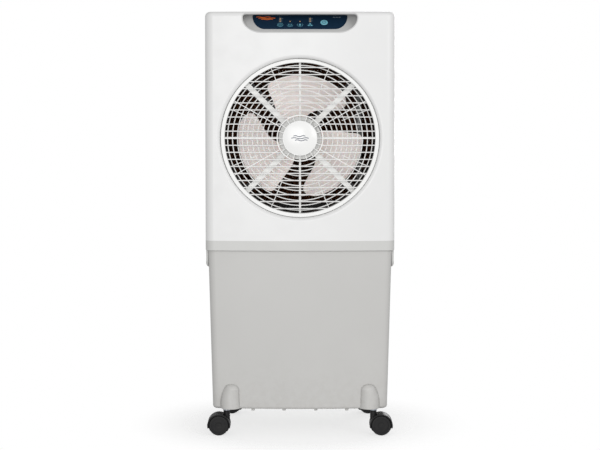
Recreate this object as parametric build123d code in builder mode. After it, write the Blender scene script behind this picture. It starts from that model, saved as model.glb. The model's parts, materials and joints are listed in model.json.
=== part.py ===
"""Evaporative cooler: a crowned white housing with a round fan outlet on a grey water tank with castors.

The frame: origin on the floor under the middle of the cooler, +Z up, the fan outlet faces -Y, +X to the
right of a person who looks at the outlet. Millimetres and degrees.
"""

import os
from math import asin, cos, degrees, hypot, radians, sin

from build123d import *

os.makedirs("parts", exist_ok=True)

# ---------------------------------------------------------------- body
body_width = 460.0
housing_depth = 372.0
housing_height = 554.0
tank_height = 391.0
collar_height = 24.0
crown = 14.0
wall = 3.0
front_corner_radius = 22.0
back_corner_radius = 16.0
top_edge_radius = 12.0
panel_depth = 62.0
seam_gap = 0.4
grille_standout = 8.0

# ---------------------------------------------------------------- tank and deck
collar_step = 6.0
skirt_clearance = 0.4
tank_side_taper = 10.0
tank_front_taper = 16.0
tank_corner_radius = 18.0
tank_bottom_radius = 7.0
rim_overlap = 11.0
deck_web = 3.0
lip_height = 7.0
lip_clearance = 0.4
foot_rib_width = 8.0
foot_rib_depth = 5.0
foot_rib_places = (-115.0, -39.0, 39.0, 115.0)
hand_grip_length = 290.0
hand_grip_drop = 44.0
hand_grip_inset = 0.5
hand_grip_toe = 15.0
hand_grip_corner = 18.0

# ---------------------------------------------------------------- castors
castor_wheel_diameter = 48.0
castor_trail = 19.0
castor_width = 44.0
castor_web = 12.0
wheel_side_clearance = 0.6
hood_clearance = 1.3
hood_thickness = 2.9
neck_radius = 8.0
neck_rise = 11.5
axle_radius = 3.0
stem_radius = 4.0
stem_grip = 36.0
stem_collar_radius = 9.0
stem_collar_height = 4.0
swivel_gap = 0.5
running_clearance = 0.06
front_stem_spread = 360.0
rear_stem_spread = 312.0
front_stem_setback = 39.0
rear_stem_setback = 46.0
boss_radius = 24.0
boss_shoulder_radius = 23.0
boss_top_radius = 16.0
boss_shoulder_height = 30.0
boss_height = 60.0
boss_inset = 10.0
boss_lean = (6.0, 5.0)
boss_groove_width = 1.6
boss_groove_depth = 1.4
front_castor_heading = 0.0
rear_castor_heading = 12.0

# ---------------------------------------------------------------- fan, louvre wheel and guard
fan_height_on_housing = 249.0
blade_tip_clearance = 30.0
fan_hub_radius = 38.0
blade_axial_depth = 60.0
blade_back_gap = 6.0
blade_pitch = 200.0
blade_thickness = 2.4
blade_count = 3
blade_rest_angle = 80.0
louvre_diameter = 384.0
louvre_rim_width = 9.5
louvre_rim_depth = 14.0
louvre_setback = 12.0
outlet_clearance = 0.8
outlet_rim_radius = 9.0
outlet_rim_thickness = 10.0
slat_pitch = 17.1
slat_thickness = 1.8
slat_depth = 7.0
slat_tilt = 6.0
centre_bar_width = 5.0
rib_angle = 29.5
rib_thickness = 1.7
hub_ring_radius = 56.5
hub_ring_wall = 2.4
hub_rib_count = 20
cap_radius = 40.0
cap_dome = 6.0
cup_wall = 2.0
guard_gap = 3.0
guard_depth = 7.0
guard_ring_pitch = 12.0
guard_ring_width = 2.2
guard_ring_depth = 5.0
guard_plate_radius = 52.0
guard_plate_thickness = 3.0
guard_seat_clearance = 0.3
guard_ring_setback = 0.5
broad_spoke_width = 13.0
broad_spoke_groove = 1.5
thin_spoke_width = 1.8
thin_spoke_start = 110.0
duct_wall = 3.0
duct_length = 94.0
duct_flange = 10.0
louvre_motor_radius = 24.5
louvre_motor_depth = 16.0
louvre_shaft_radius = 3.0
fan_shaft_radius = 4.0
nut_radius = 15.0
nut_length = 10.0
bracket_thickness = 4.0
bracket_arm_width = 22.0
motor_radius = 52.0
motor_length = 70.0
motor_bell_length = 20.0

# ---------------------------------------------------------------- controls
slope_angle = 42.0
slope_rise = 42.5
brow_height = 6.5
floor_sink = 2.5
bezel_wall = 2.5
bezel_clearance = 0.1
bezel_floor = 3.0
recess_top_half = 138.0
recess_bottom_half = 92.0
recess_corner = 7.0
overlay_side_margin = 23.0
overlay_corner_shift = 8.0
overlay_bottom_margin = 13.0
overlay_top_margin = 1.5
overlay_corner = 3.5
overlay_thickness = 0.8
key_radius = 8.0
power_key_radius = 9.0
key_clearance = 0.4
key_flange = 2.0
key_travel = 0.8
key_standout = 0.6
key_row = 27.6
power_key_row = 36.9
key_columns = {
    "timer_key": -48.0,
    "swing_key": -24.0,
    "cool_key": 0.0,
    "speed_key": 24.4,
    "power_key": 58.3,
}
scale_keys = ("timer_key", "speed_key")
light_row = 41.0
light_pitch = 5.5
light_radius = 1.3
light_clearance = 0.05
board_drop = 12.0
board_thickness = 1.6
board_play = 0.4
switch_size = 6.0
switch_body_height = 4.0
control_box_depth = 20.0
control_box_wall = 2.0
control_box_low = (-72.0, 13.0)
control_box_high = (80.0, 61.0)
box_post = 7.0

# ---------------------------------------------------------------- water circuit and intake
pad_margin_side = 28.0
pad_margin_bottom = 60.0
pad_margin_top = 50.0
pad_thickness = 50.0
pad_setback = 26.0
pad_play = 0.5
frame_rail = 12.0
frame_wall = 2.5
opening_corner_radius = 14.0
intake_border = 12.0
intake_slat_pitch = 20.0
intake_slat_depth = 9.0
intake_slat_thickness = 2.2
intake_slat_tilt = 35.0
plug_play = 0.6
plug_wall = 2.0
intake_rest_gap = 0.3
filter_thickness = 2.0
filter_gap = 6.0
distributor_height = 24.0
distributor_wall = 2.5
distributor_end_margin = 12.0
distributor_side_margin = 4.0
spigot_length = 12.0
spigot_wall = 2.0
drip_hole_pitch = 20.0
drip_hole_radius = 1.6
pump_place = (150.0, 60.0)
pump_radius = 28.0
pump_height = 50.0
pump_spigot_length = 14.0
pump_outlet_depth = 10.0
strainer_wall = 3.0
strainer_height = 14.0
strainer_lid = 2.0
hose_outer_radius = 8.0
hose_inner_radius = 6.0
hose_bend_radius = 20.0
spigot_clearance = 0.15
float_place = (-120.0, 60.0)
float_rod_radius = 4.0
float_radius = 14.0
float_height = 26.0
float_drop = 140.0
float_rest_gap = 0.4
rod_foot = 3.0
rod_foot_margin = 4.0
fill_port_width = 110.0
fill_port_height = 42.0
fill_port_x = -90.0
fill_port_drop = 50.0
fill_port_radius = 6.0
fill_door_margin = 8.0
fill_door_thickness = 3.0
fill_door_rib_gap = 3.0
fill_door_rib = 2.0
door_lug_inset = 9.0
door_lug_width = 10.0
door_lug_clearance = 0.5
door_pin_radius = 1.5
door_knuckle_radius = 4.0
door_play = 0.6
drain_place_x = 150.0
drain_radius = 8.0
drain_boss_radius = 14.0
drain_boss_length = 6.0
drain_plug_flange = 3.0
drain_plug_fit = 0.1
gland_radius = 13.0
gland_neck_radius = 9.0
gland_fit = 0.1
gland_flange = 3.0
gland_neck_length = 12.0
gland_bore = 3.6
gland_place_x = 180.0

# ---------------------------------------------------------------- screws
screw_radius = 1.9
screw_length = 12.0
screw_head_radius = 3.8
screw_head_height = 2.6
screw_play = 0.05

# ================================================================ worked-out places
half_width = body_width / 2
total_depth = housing_depth + grille_standout
front_y = -total_depth / 2
back_y = front_y + housing_depth
seam_y = front_y + crown + panel_depth

wheel_radius = castor_wheel_diameter / 2
neck_top = castor_wheel_diameter + neck_rise
tank_bottom = neck_top + swivel_gap + stem_collar_height
collar_bottom = tank_bottom + tank_height
housing_bottom = collar_bottom + collar_height
housing_top = housing_bottom + housing_height
tank_rim = collar_bottom + rim_overlap
fan_z = housing_bottom + fan_height_on_housing

outlet_radius = louvre_diameter / 2 + outlet_clearance
louvre_front = front_y + louvre_setback
louvre_back = louvre_front + louvre_rim_depth
guard_front = louvre_back + guard_gap
guard_back = guard_front + guard_depth
duct_back = guard_back + duct_length
duct_inner = louvre_diameter / 2 - louvre_rim_width
bracket_back = duct_back + bracket_thickness
blade_back = duct_back - blade_back_gap
blade_front = blade_back - blade_axial_depth
hub_front = blade_front

intake_half_width = half_width - pad_margin_side
intake_bottom = housing_bottom + pad_margin_bottom
intake_top = housing_top - wall - pad_margin_top
intake_middle = (intake_bottom + intake_top) / 2
intake_height = intake_top - intake_bottom
pad_half_width = intake_half_width - pad_play
pad_back = back_y - pad_setback
pad_front = pad_back - pad_thickness


def fan_plane(y):
    """The plane square to the fan's axis at depth y; an extrusion from it goes towards the front."""
    return Plane(origin=(0, y, fan_z), x_dir=(1, 0, 0), z_dir=(0, -1, 0))


def back_plane(y, z):
    """An upright plane at depth y centred at height z, whose extrusion goes towards the back."""
    return Plane(origin=(0, y, z), x_dir=(-1, 0, 0), z_dir=(0, 1, 0))


def write(piece, name):
    """Labels a finished piece and writes it as its own node."""
    piece.label = name
    export_step(piece, f"parts/{name}.step")


def plan_outline(inset, front_in=0.0, side_in=0.0, corner_radius=front_corner_radius):
    """The body's plan, crowned in front, moved in by inset, and further in at the front and sides."""
    half = half_width - inset - side_in
    front = front_y + inset + front_in
    back = back_y - inset
    with BuildSketch() as plan:
        with BuildLine():
            ThreePointArc((-half, front + crown), (0, front), (half, front + crown))
            Polyline((half, front + crown), (half, back), (-half, back), (-half, front + crown))
        make_face()
        corners = plan.vertices().sort_by(Axis.Y)
        fillet(corners[:2], max(corner_radius - inset, 2.0))
        fillet(plan.vertices().sort_by(Axis.Y)[-2:], max(back_corner_radius - inset, 2.0))
    return plan.sketch


# ================================================================ water tank
# A tapered open box with a boss over each castor and ribs under the floor.
rim_plan = plan_outline(collar_step, corner_radius=tank_corner_radius + collar_step)
floor_plan = plan_outline(collar_step, tank_front_taper, tank_side_taper, tank_corner_radius + collar_step)
rim_inside = plan_outline(collar_step + wall, corner_radius=tank_corner_radius + collar_step)
floor_inside = plan_outline(
    collar_step + wall, tank_front_taper, tank_side_taper, tank_corner_radius + collar_step
)

front_stem_y = front_y + front_stem_setback
rear_stem_y = back_y - rear_stem_setback
castors = {
    "front_left": (-front_stem_spread / 2, front_stem_y, 180.0 + front_castor_heading),
    "front_right": (front_stem_spread / 2, front_stem_y, -front_castor_heading),
    "rear_left": (-rear_stem_spread / 2, rear_stem_y, 180.0 - rear_castor_heading),
    "rear_right": (rear_stem_spread / 2, rear_stem_y, rear_castor_heading),
}
stem_top = tank_bottom + stem_grip

with BuildPart() as tank_shell:
    with BuildSketch(Plane.XY.offset(tank_bottom)):
        add(floor_plan)
    with BuildSketch(Plane.XY.offset(tank_rim)):
        add(rim_plan)
    loft(ruled=True)
    fillet(tank_shell.faces().sort_by(Axis.Z)[0].edges(), tank_bottom_radius)
    with BuildSketch(Plane.XY.offset(tank_bottom + wall)):
        add(floor_inside)
    with BuildSketch(Plane.XY.offset(tank_rim)):
        add(rim_inside)
    loft(ruled=True, mode=Mode.SUBTRACT)

# The skin within the depth of the groove that runs round each boss.
with BuildPart() as groove_core:
    with BuildSketch(Plane.XY.offset(tank_bottom)):
        add(plan_outline(collar_step + boss_groove_depth, tank_front_taper, tank_side_taper,
                         tank_corner_radius + collar_step))
    with BuildSketch(Plane.XY.offset(tank_rim)):
        add(plan_outline(collar_step + boss_groove_depth, corner_radius=tank_corner_radius + collar_step))
    loft(ruled=True)


def castor_boss(stem_x, stem_y, grow=0.0):
    """The upright dome over a castor's stem: straight below its shoulder, then leaning in to its crest."""
    side = -1 if stem_x < 0 else 1
    depth = 1 if stem_y < 0 else -1
    foot = (stem_x - side * boss_inset, stem_y)
    crest = (foot[0] - side * boss_lean[0], foot[1] - depth * boss_lean[1])
    sections = (
        (0.0, foot, boss_radius),
        (boss_shoulder_height, foot, boss_shoulder_radius),
        (boss_height, crest, boss_top_radius),
    )
    with BuildPart() as boss:
        for rise, centre, radius in sections:
            with BuildSketch(Plane.XY.offset(tank_bottom + rise + (grow if rise == boss_height else 0.0))):
                with Locations(centre):
                    Circle(radius + grow)
        loft()
        fillet(boss.faces().sort_by(Axis.Z)[-1].edges(), (boss_top_radius + grow) * 0.85)
        if not grow:
            fillet(boss.faces().sort_by(Axis.Z)[0].edges(), 2.0)
    return boss.part


fill_port_z = collar_bottom - fill_port_drop
tank_wall_back = back_y - collar_step
drain_z = tank_bottom + drain_boss_radius + tank_bottom_radius + 2.0
drain_mouth = tank_wall_back + drain_boss_length
door_height = fill_port_height + 2 * fill_door_margin
door_width = fill_port_width + 2 * fill_door_margin
door_pin_z = fill_port_z - door_height / 2 - door_knuckle_radius - door_play
door_pin_y = tank_wall_back + door_knuckle_radius + door_play
door_plate_middle = tank_wall_back + door_play + fill_door_thickness / 2
door_rib_width = fill_port_width - 2 * fill_door_rib_gap
door_rib_height = fill_port_height - 2 * fill_door_rib_gap - 2.0
knuckle_half = door_width / 2 - door_lug_inset - door_lug_width / 2 - door_lug_clearance
rib_front = front_y + collar_step + tank_front_taper + tank_bottom_radius + 4.0
rib_length = back_y - 2 * collar_step - tank_bottom_radius - rib_front

with BuildPart() as water_tank:
    add(tank_shell.part)
    for stem_x, stem_y, heading in castors.values():
        if stem_y < 0:
            add(castor_boss(stem_x, stem_y, boss_groove_width) - groove_core.part, mode=Mode.SUBTRACT)
    for stem_x, stem_y, heading in castors.values():
        add(castor_boss(stem_x, stem_y))
    with BuildSketch(Plane.XY.offset(tank_bottom - foot_rib_depth)):
        for rib_x in foot_rib_places:
            with Locations((rib_x, rib_front + rib_length / 2)):
                SlotOverall(rib_length, foot_rib_width, rotation=90)
    extrude(amount=foot_rib_depth + wall / 2)
    with BuildSketch(back_plane(tank_wall_back - wall, drain_z)):
        with Locations((-drain_place_x, 0)):
            Circle(drain_boss_radius)
    extrude(amount=wall + drain_boss_length)
    with BuildSketch(back_plane(tank_wall_back - 2 * wall, drain_z)):
        with Locations((-drain_place_x, 0)):
            Circle(drain_radius)
    extrude(amount=3 * wall + drain_boss_length, mode=Mode.SUBTRACT)
    with BuildSketch(back_plane(tank_wall_back - 2 * wall, fill_port_z)):
        with Locations((-fill_port_x, 0)):
            RectangleRounded(fill_port_width, fill_port_height, fill_port_radius)
    extrude(amount=3 * wall, mode=Mode.SUBTRACT)
    # two hinge lugs under the filling door
    for lug_side in (-1, 1):
        lug_x = fill_port_x + lug_side * (door_width / 2 - door_lug_inset)
        with BuildSketch(Plane.YZ.offset(lug_x - door_lug_width / 2)):
            with Locations((door_pin_y, door_pin_z)):
                Circle(door_knuckle_radius)
            with Locations((tank_wall_back + door_knuckle_radius / 2 - 0.5, door_pin_z)):
                Rectangle(door_knuckle_radius + 1.0, 2 * door_knuckle_radius)
        extrude(amount=door_lug_width)
        with BuildSketch(Plane.YZ.offset(lug_x - door_lug_width / 2)):
            with Locations((door_pin_y, door_pin_z)):
                Circle(door_pin_radius)
        extrude(amount=door_lug_width, mode=Mode.SUBTRACT)
    for stem_x, stem_y, heading in castors.values():
        with BuildSketch(Plane.XY.offset(tank_bottom - foot_rib_depth)):
            with Locations((stem_x, stem_y)):
                Circle(stem_radius)
        extrude(amount=stem_grip + foot_rib_depth, mode=Mode.SUBTRACT)
write(water_tank.part, "water_tank")

# ================================================================ filling door, its pin and the drain plug
with BuildPart() as fill_door:
    with BuildSketch(back_plane(tank_wall_back + door_play, fill_port_z)):
        with Locations((-fill_port_x, 0)):
            RectangleRounded(door_width, door_height, 5.0)
    extrude(amount=fill_door_thickness)
    with BuildSketch(back_plane(tank_wall_back + door_play + fill_door_thickness, fill_port_z)):
        with Locations((-fill_port_x, door_height / 2 - 6.0)):
            RectangleRounded(36.0, 6.0, 2.5)
    extrude(amount=2.2)
    with BuildSketch(back_plane(tank_wall_back - wall, fill_port_z)):
        with Locations((-fill_port_x, 0)):
            RectangleRounded(door_rib_width, door_rib_height, fill_port_radius - fill_door_rib)
            RectangleRounded(door_rib_width - 2 * fill_door_rib, door_rib_height - 2 * fill_door_rib,
                             fill_port_radius - 2 * fill_door_rib, mode=Mode.SUBTRACT)
    extrude(amount=wall + door_play + fill_door_thickness / 2)
    with BuildSketch(Plane.YZ.offset(fill_port_x - knuckle_half)):
        with Locations((door_pin_y, door_pin_z)):
            Circle(door_knuckle_radius - 0.4)
        with Locations((door_plate_middle, door_pin_z + door_knuckle_radius)):
            Rectangle(fill_door_thickness, 2 * door_knuckle_radius)
    extrude(amount=2 * knuckle_half)
    with BuildSketch(Plane.YZ.offset(fill_port_x - knuckle_half - 1.0)):
        with Locations((door_pin_y, door_pin_z)):
            Circle(door_pin_radius + running_clearance)
    extrude(amount=2 * knuckle_half + 2.0, mode=Mode.SUBTRACT)
write(fill_door.part, "fill_door")

with BuildPart() as fill_door_pin:
    with BuildSketch(Plane.YZ.offset(fill_port_x)):
        with Locations((door_pin_y, door_pin_z)):
            Circle(door_pin_radius)
    extrude(amount=door_width / 2 - door_lug_inset + door_lug_width / 2, both=True)
write(fill_door_pin.part, "fill_door_pin")

with BuildPart() as drain_plug:
    with BuildSketch(back_plane(drain_mouth, drain_z)):
        with Locations((-drain_place_x, 0)):
            Circle(drain_boss_radius - 1.5)
    extrude(amount=drain_plug_flange)
    fillet(drain_plug.faces().sort_by(Axis.Y)[-1].edges(), 1.0)
    with BuildSketch(back_plane(tank_wall_back - wall, drain_z)):
        with Locations((-drain_place_x, 0)):
            Circle(drain_radius - drain_plug_fit)
    extrude(amount=wall + drain_boss_length)
    with BuildSketch(back_plane(drain_mouth + drain_plug_flange, drain_z)):
        with Locations((-drain_place_x, 0)):
            SlotOverall(18.0, 4.0)
    extrude(amount=2.6)
write(drain_plug.part, "drain_plug")

# ================================================================ deck between tank and housing
hose_x, hose_y = pump_place
float_x, float_y = float_place
lip_inset = wall + lip_clearance

outer_plan = plan_outline(0.0)
skirt_inside = plan_outline(collar_step - skirt_clearance, corner_radius=tank_corner_radius + collar_step)
lip_outside = plan_outline(lip_inset)
lip_inside = plan_outline(lip_inset + wall)

# A hand grip hangs from each side of the collar: a plate with a rounded toe and rounded corners.
grip_inner = half_width - collar_step + skirt_clearance
grip_outer = half_width - hand_grip_inset
grip_bottom = collar_bottom - hand_grip_drop
grip_height = housing_bottom - grip_bottom
grips = []
for side in (-1, 1):
    with BuildPart() as hand_grip:
        with BuildSketch(Plane.XZ.offset(-hand_grip_length / 2)):
            with BuildLine():
                Polyline(
                    (side * grip_inner, grip_bottom),
                    (side * grip_inner, housing_bottom),
                    (side * grip_outer, housing_bottom),
                    (side * grip_outer, grip_bottom + hand_grip_toe),
                )
                ThreePointArc(
                    (side * grip_outer, grip_bottom + hand_grip_toe),
                    (side * (0.25 * grip_inner + 0.75 * grip_outer), grip_bottom + 0.3 * hand_grip_toe),
                    (side * grip_inner, grip_bottom),
                )
            make_face()
        extrude(amount=hand_grip_length)
        with BuildSketch(Plane.YZ.offset(-half_width)):
            with Locations((0, grip_bottom + grip_height / 2)):
                RectangleRounded(hand_grip_length, grip_height, hand_grip_corner)
        extrude(amount=body_width, mode=Mode.INTERSECT)
    grips.append(hand_grip.part)

with BuildPart() as deck:
    with BuildSketch(Plane.XY.offset(collar_bottom)):
        add(outer_plan)
        add(skirt_inside, mode=Mode.SUBTRACT)
    extrude(amount=collar_height)
    with BuildSketch(Plane.XY.offset(tank_rim)):
        add(outer_plan)
    extrude(amount=deck_web)
    with BuildSketch(Plane.XY.offset(tank_rim + deck_web)):
        add(lip_outside)
        add(lip_inside, mode=Mode.SUBTRACT)
    extrude(amount=housing_bottom + lip_height - tank_rim - deck_web)
    with BuildSketch(Plane.XY.offset(tank_rim)):
        with Locations((hose_x, hose_y)):
            Circle(hose_outer_radius + 2.0)
        with Locations((float_x, float_y)):
            Circle(float_rod_radius)
        with Locations((0, pad_front + pad_thickness / 2)):
            SlotOverall(pad_half_width, pad_thickness / 2)
    extrude(amount=deck_web, mode=Mode.SUBTRACT)
    drip_edges = deck.faces().sort_by(Axis.Z)[0].outer_wire().edges()
    fillet(drip_edges, 1.2)
    for grip in grips:
        add(grip)
write(deck.part, "deck")

# ================================================================ housing: one closed outline, cut in two
inner_plan = plan_outline(wall)

with BuildPart() as housing_outer:
    with BuildSketch(Plane.XY.offset(housing_bottom)):
        add(outer_plan)
    extrude(amount=housing_height)
    fillet(housing_outer.faces().sort_by(Axis.Z)[-1].edges(), top_edge_radius)

with BuildPart() as housing_shell:
    add(housing_outer.part)
    with BuildSketch(Plane.XY.offset(housing_bottom)):
        add(inner_plan)
    extrude(amount=housing_height - top_edge_radius, mode=Mode.SUBTRACT)
    with BuildSketch(Plane.XY.offset(housing_top - top_edge_radius)):
        add(inner_plan)
    extrude(amount=top_edge_radius - wall, taper=38, mode=Mode.SUBTRACT)

# The control recess is a window below the top edge, and its floor slopes back from the window's foot.
slope = radians(slope_angle)
recess_top = housing_top - brow_height
slope_foot = recess_top - slope_rise
slope_length = (slope_rise + floor_sink * cos(slope)) / sin(slope)
control_plane = Plane(
    origin=(0, front_y + floor_sink * sin(slope), slope_foot - floor_sink * cos(slope)),
    x_dir=(1, 0, 0),
    z_dir=(0, -sin(slope), cos(slope)),
)


def boat_outline(top_half, bottom_half, low, high, corner, grow=0.0):
    """A straight bottom, quarter-ellipse sides and a straight top with rounded corners, and a border round it."""
    shoulder = high - 1.15 * corner
    half = top_half + grow
    side_width = half - bottom_half
    side_height = shoulder - low + grow
    with BuildSketch() as boat:
        with BuildLine():
            Line((-bottom_half, low - grow), (bottom_half, low - grow))
            EllipticalCenterArc((bottom_half, shoulder), side_width, side_height, 270, arc_size=90)
            Polyline((half, shoulder), (half, high + grow), (-half, high + grow), (-half, shoulder))
            EllipticalCenterArc((-bottom_half, shoulder), side_width, side_height, 180, arc_size=90)
        make_face()
        fillet(boat.vertices().group_by(Axis.Y)[-1], corner + grow)
    return boat.sketch


def recess_block(grow):
    """The space in front of the housing's seam that the recess's window sees, with a border round it."""
    with BuildPart() as block:
        with BuildSketch(Plane.XZ.offset(-seam_y)):
            add(boat_outline(recess_top_half, recess_bottom_half, slope_foot, recess_top, recess_corner, grow))
        extrude(amount=seam_y - front_y + crown)
    return block.part


with BuildPart() as outlet_rim:
    with BuildSketch(fan_plane(guard_back)):
        Circle(outlet_radius + outlet_rim_thickness)
    extrude(amount=guard_back - front_y + crown)
    add(housing_outer.part, mode=Mode.INTERSECT)

with BuildPart() as front_panel:
    add(housing_shell.part)
    split(bisect_by=Plane.XZ.offset(-seam_y), keep=Keep.TOP)
    add(outlet_rim.part)
    with BuildSketch(fan_plane(guard_back + 1.0)):
        Circle(outlet_radius)
    extrude(amount=guard_back + 1.0 - front_y + crown, mode=Mode.SUBTRACT)
    mouth = [
        edge
        for edge in front_panel.edges()
        if edge.geom_type not in (GeomType.LINE, GeomType.CIRCLE)
        and edge.center().Y < guard_front
        and all(
            abs(hypot((edge @ t).X, (edge @ t).Z - fan_z) - outlet_radius) < 0.05
            for t in (0.0, 0.3, 0.7, 1.0)
        )
    ]
    fillet(mouth, outlet_rim_radius)
    add(recess_block(bezel_wall + bezel_clearance), mode=Mode.SUBTRACT)
    # pilot holes for the screws of the fan duct
    with BuildSketch(fan_plane(guard_back)):
        with PolarLocations(outlet_radius + outlet_rim_thickness / 2, 4, start_angle=45):
            Circle(screw_radius + screw_play)
    extrude(amount=screw_length - duct_wall + 1.0, mode=Mode.SUBTRACT)
write(front_panel.part, "front_panel")

# ---------------------------------------------------------------- top cover, side panels and rear panel
gland_z = housing_bottom + (pad_margin_bottom - intake_border) / 2
cover_bottom = housing_top - top_edge_radius
corner_start = back_y - back_corner_radius

with BuildPart() as rear_shell:
    add(housing_shell.part)
    split(bisect_by=Plane.XZ.offset(-seam_y - seam_gap), keep=Keep.BOTTOM)

with BuildPart() as top_cover:
    add(rear_shell.part)
    split(bisect_by=Plane.XY.offset(cover_bottom), keep=Keep.TOP)
write(top_cover.part, "top_cover")

with BuildPart() as rear_walls:
    add(rear_shell.part)
    split(bisect_by=Plane.XY.offset(cover_bottom), keep=Keep.BOTTOM)

for side_name, half in (("left_side_panel", Keep.BOTTOM), ("right_side_panel", Keep.TOP)):
    with BuildPart() as side_panel:
        add(rear_walls.part)
        split(bisect_by=Plane.XZ.offset(seam_gap - corner_start), keep=Keep.TOP)
        split(bisect_by=Plane.YZ, keep=half)
    write(side_panel.part, side_name)

with BuildPart() as rear_panel:
    add(rear_walls.part)
    split(bisect_by=Plane.XZ.offset(-corner_start), keep=Keep.BOTTOM)
    with BuildSketch(back_plane(back_y - 2 * wall, intake_middle)):
        RectangleRounded(2 * intake_half_width, intake_height, opening_corner_radius)
    extrude(amount=3 * wall, mode=Mode.SUBTRACT)
    with BuildSketch(back_plane(back_y - 2 * wall, gland_z)):
        with Locations((-gland_place_x, 0)):
            Circle(gland_neck_radius)
    extrude(amount=3 * wall, mode=Mode.SUBTRACT)
write(rear_panel.part, "rear_panel")

with BuildPart() as cord_gland:
    with BuildSketch(back_plane(back_y, gland_z)):
        with Locations((-gland_place_x, 0)):
            Circle(gland_radius)
    extrude(amount=gland_flange)
    fillet(cord_gland.faces().sort_by(Axis.Y)[-1].edges(), 1.2)
    with BuildSketch(back_plane(back_y - gland_neck_length, gland_z)):
        with Locations((-gland_place_x, 0)):
            Circle(gland_neck_radius - gland_fit)
    extrude(amount=gland_neck_length)
    with BuildSketch(back_plane(back_y - gland_neck_length, gland_z)):
        with Locations((-gland_place_x, 0)):
            Circle(gland_bore)
    extrude(amount=gland_neck_length + gland_flange, mode=Mode.SUBTRACT)
write(cord_gland.part, "cord_gland")

# ================================================================ guard ring, duct and louvre wheel
duct_flange_radius = outlet_radius + outlet_rim_thickness
guard_outer = outlet_radius - guard_seat_clearance
guard_inner = duct_inner + guard_ring_setback
screw_circle = outlet_radius + outlet_rim_thickness / 2
guard_screw_circle = duct_inner + duct_wall + screw_head_radius + 0.4
guard_screw_length = 8.0
first_ring = guard_plate_radius + 16.0
guard_rings = [
    first_ring + step * guard_ring_pitch
    for step in range(int((guard_inner - first_ring - 4.0) / guard_ring_pitch) + 1)
]
thin_angles = [45 * step + 22.5 for step in range(8)]

with BuildSketch() as spokes:
    for angle in thin_angles:
        with Locations(Rotation(0, 0, angle)):
            with Locations(((thin_spoke_start + guard_inner) / 2 + 1.0, 0)):
                Rectangle(guard_inner - thin_spoke_start + 2.0, thin_spoke_width)
    with PolarLocations(guard_inner / 2 + 1.0, 4):
        Rectangle(guard_inner, centre_bar_width)

with BuildSketch() as broad_spokes:
    with PolarLocations((guard_inner + guard_plate_radius) / 2, 4, start_angle=45):
        Rectangle(guard_inner - guard_plate_radius + 4.0, broad_spoke_width)

with BuildPart() as guard_grille:
    # rings, spokes and the outer ring as one layer
    with BuildSketch(fan_plane(guard_front + guard_ring_depth)):
        Circle(guard_outer)
        Circle(guard_inner, mode=Mode.SUBTRACT)
        for ring_radius in guard_rings:
            with BuildSketch(mode=Mode.PRIVATE) as ring:
                Circle(ring_radius + guard_ring_width / 2)
                Circle(ring_radius - guard_ring_width / 2, mode=Mode.SUBTRACT)
            add(ring.sketch)
        add(spokes.sketch)
        add(broad_spokes.sketch)
        Circle(guard_plate_radius)
    extrude(amount=guard_ring_depth)
    # the broad spokes and the outer ring are deeper
    with BuildSketch(fan_plane(guard_back)):
        Circle(guard_outer)
        Circle(guard_inner, mode=Mode.SUBTRACT)
        add(broad_spokes.sketch)
        Circle(guard_plate_radius, mode=Mode.SUBTRACT)
    extrude(amount=guard_depth - guard_ring_depth)
    with BuildSketch(fan_plane(guard_front + broad_spoke_groove)):
        with PolarLocations((guard_inner + guard_plate_radius) / 2, 4, start_angle=45):
            Rectangle(guard_inner - guard_plate_radius - 6.0, broad_spoke_width - 4.0)
    extrude(amount=broad_spoke_groove, mode=Mode.SUBTRACT)
    with BuildSketch(fan_plane(guard_front + guard_ring_depth)):
        Circle(guard_plate_radius - 3.0)
    extrude(amount=guard_ring_depth - guard_plate_thickness, mode=Mode.SUBTRACT)
    with BuildSketch(fan_plane(guard_back)):
        Circle(louvre_shaft_radius + 0.5)
    extrude(amount=guard_depth, mode=Mode.SUBTRACT)
    with BuildSketch(fan_plane(guard_back)):
        with PolarLocations(guard_screw_circle, 4):
            Circle(screw_radius + screw_play)
    extrude(amount=guard_screw_length - duct_wall + 0.5, mode=Mode.SUBTRACT)
write(guard_grille.part, "guard_grille")

with BuildPart() as air_duct:
    with BuildSketch(fan_plane(duct_back)):
        Circle(duct_inner + duct_wall)
    extrude(amount=duct_length)
    with BuildSketch(fan_plane(guard_back + duct_wall)):
        Circle(duct_flange_radius)
    extrude(amount=duct_wall)
    with BuildSketch(fan_plane(duct_back)):
        Circle(duct_inner + duct_wall + duct_flange)
    extrude(amount=duct_wall)
    with BuildSketch(fan_plane(duct_back)):
        Circle(duct_inner)
    extrude(amount=duct_length, mode=Mode.SUBTRACT)
    with BuildSketch(fan_plane(guard_back + duct_wall)):
        with PolarLocations(guard_screw_circle, 4):
            Circle(screw_radius + screw_play)
        with PolarLocations(screw_circle, 4, start_angle=45):
            Circle(screw_radius + screw_play)
    extrude(amount=duct_wall, mode=Mode.SUBTRACT)
    with BuildSketch(fan_plane(duct_back)):
        with PolarLocations(duct_inner + duct_wall + duct_flange / 2, 4, start_angle=45):
            Circle(screw_radius + screw_play)
    extrude(amount=duct_wall, mode=Mode.SUBTRACT)
write(air_duct.part, "air_duct")


def screw(length):
    """A pan-head screw whose head rests at z = 0 and whose shank points down."""
    with BuildPart() as fastener:
        with BuildSketch():
            Circle(screw_head_radius)
        extrude(amount=screw_head_height)
        fillet(fastener.faces().sort_by(Axis.Z)[-1].edges(), 1.2)
        with BuildSketch(Plane.XY.offset(screw_head_height)):
            Rectangle(screw_head_radius * 1.2, 0.9)
            Rectangle(0.9, screw_head_radius * 1.2)
        extrude(amount=-1.2, mode=Mode.SUBTRACT)
        with BuildSketch():
            Circle(screw_radius)
        extrude(amount=-length)
    return fastener.part


def rear_facing(y, x, z):
    """A place on an upright face, where a screw's head points to the back."""
    return Plane(origin=(x, y, z), x_dir=(-1, 0, 0), z_dir=(0, 1, 0))


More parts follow.
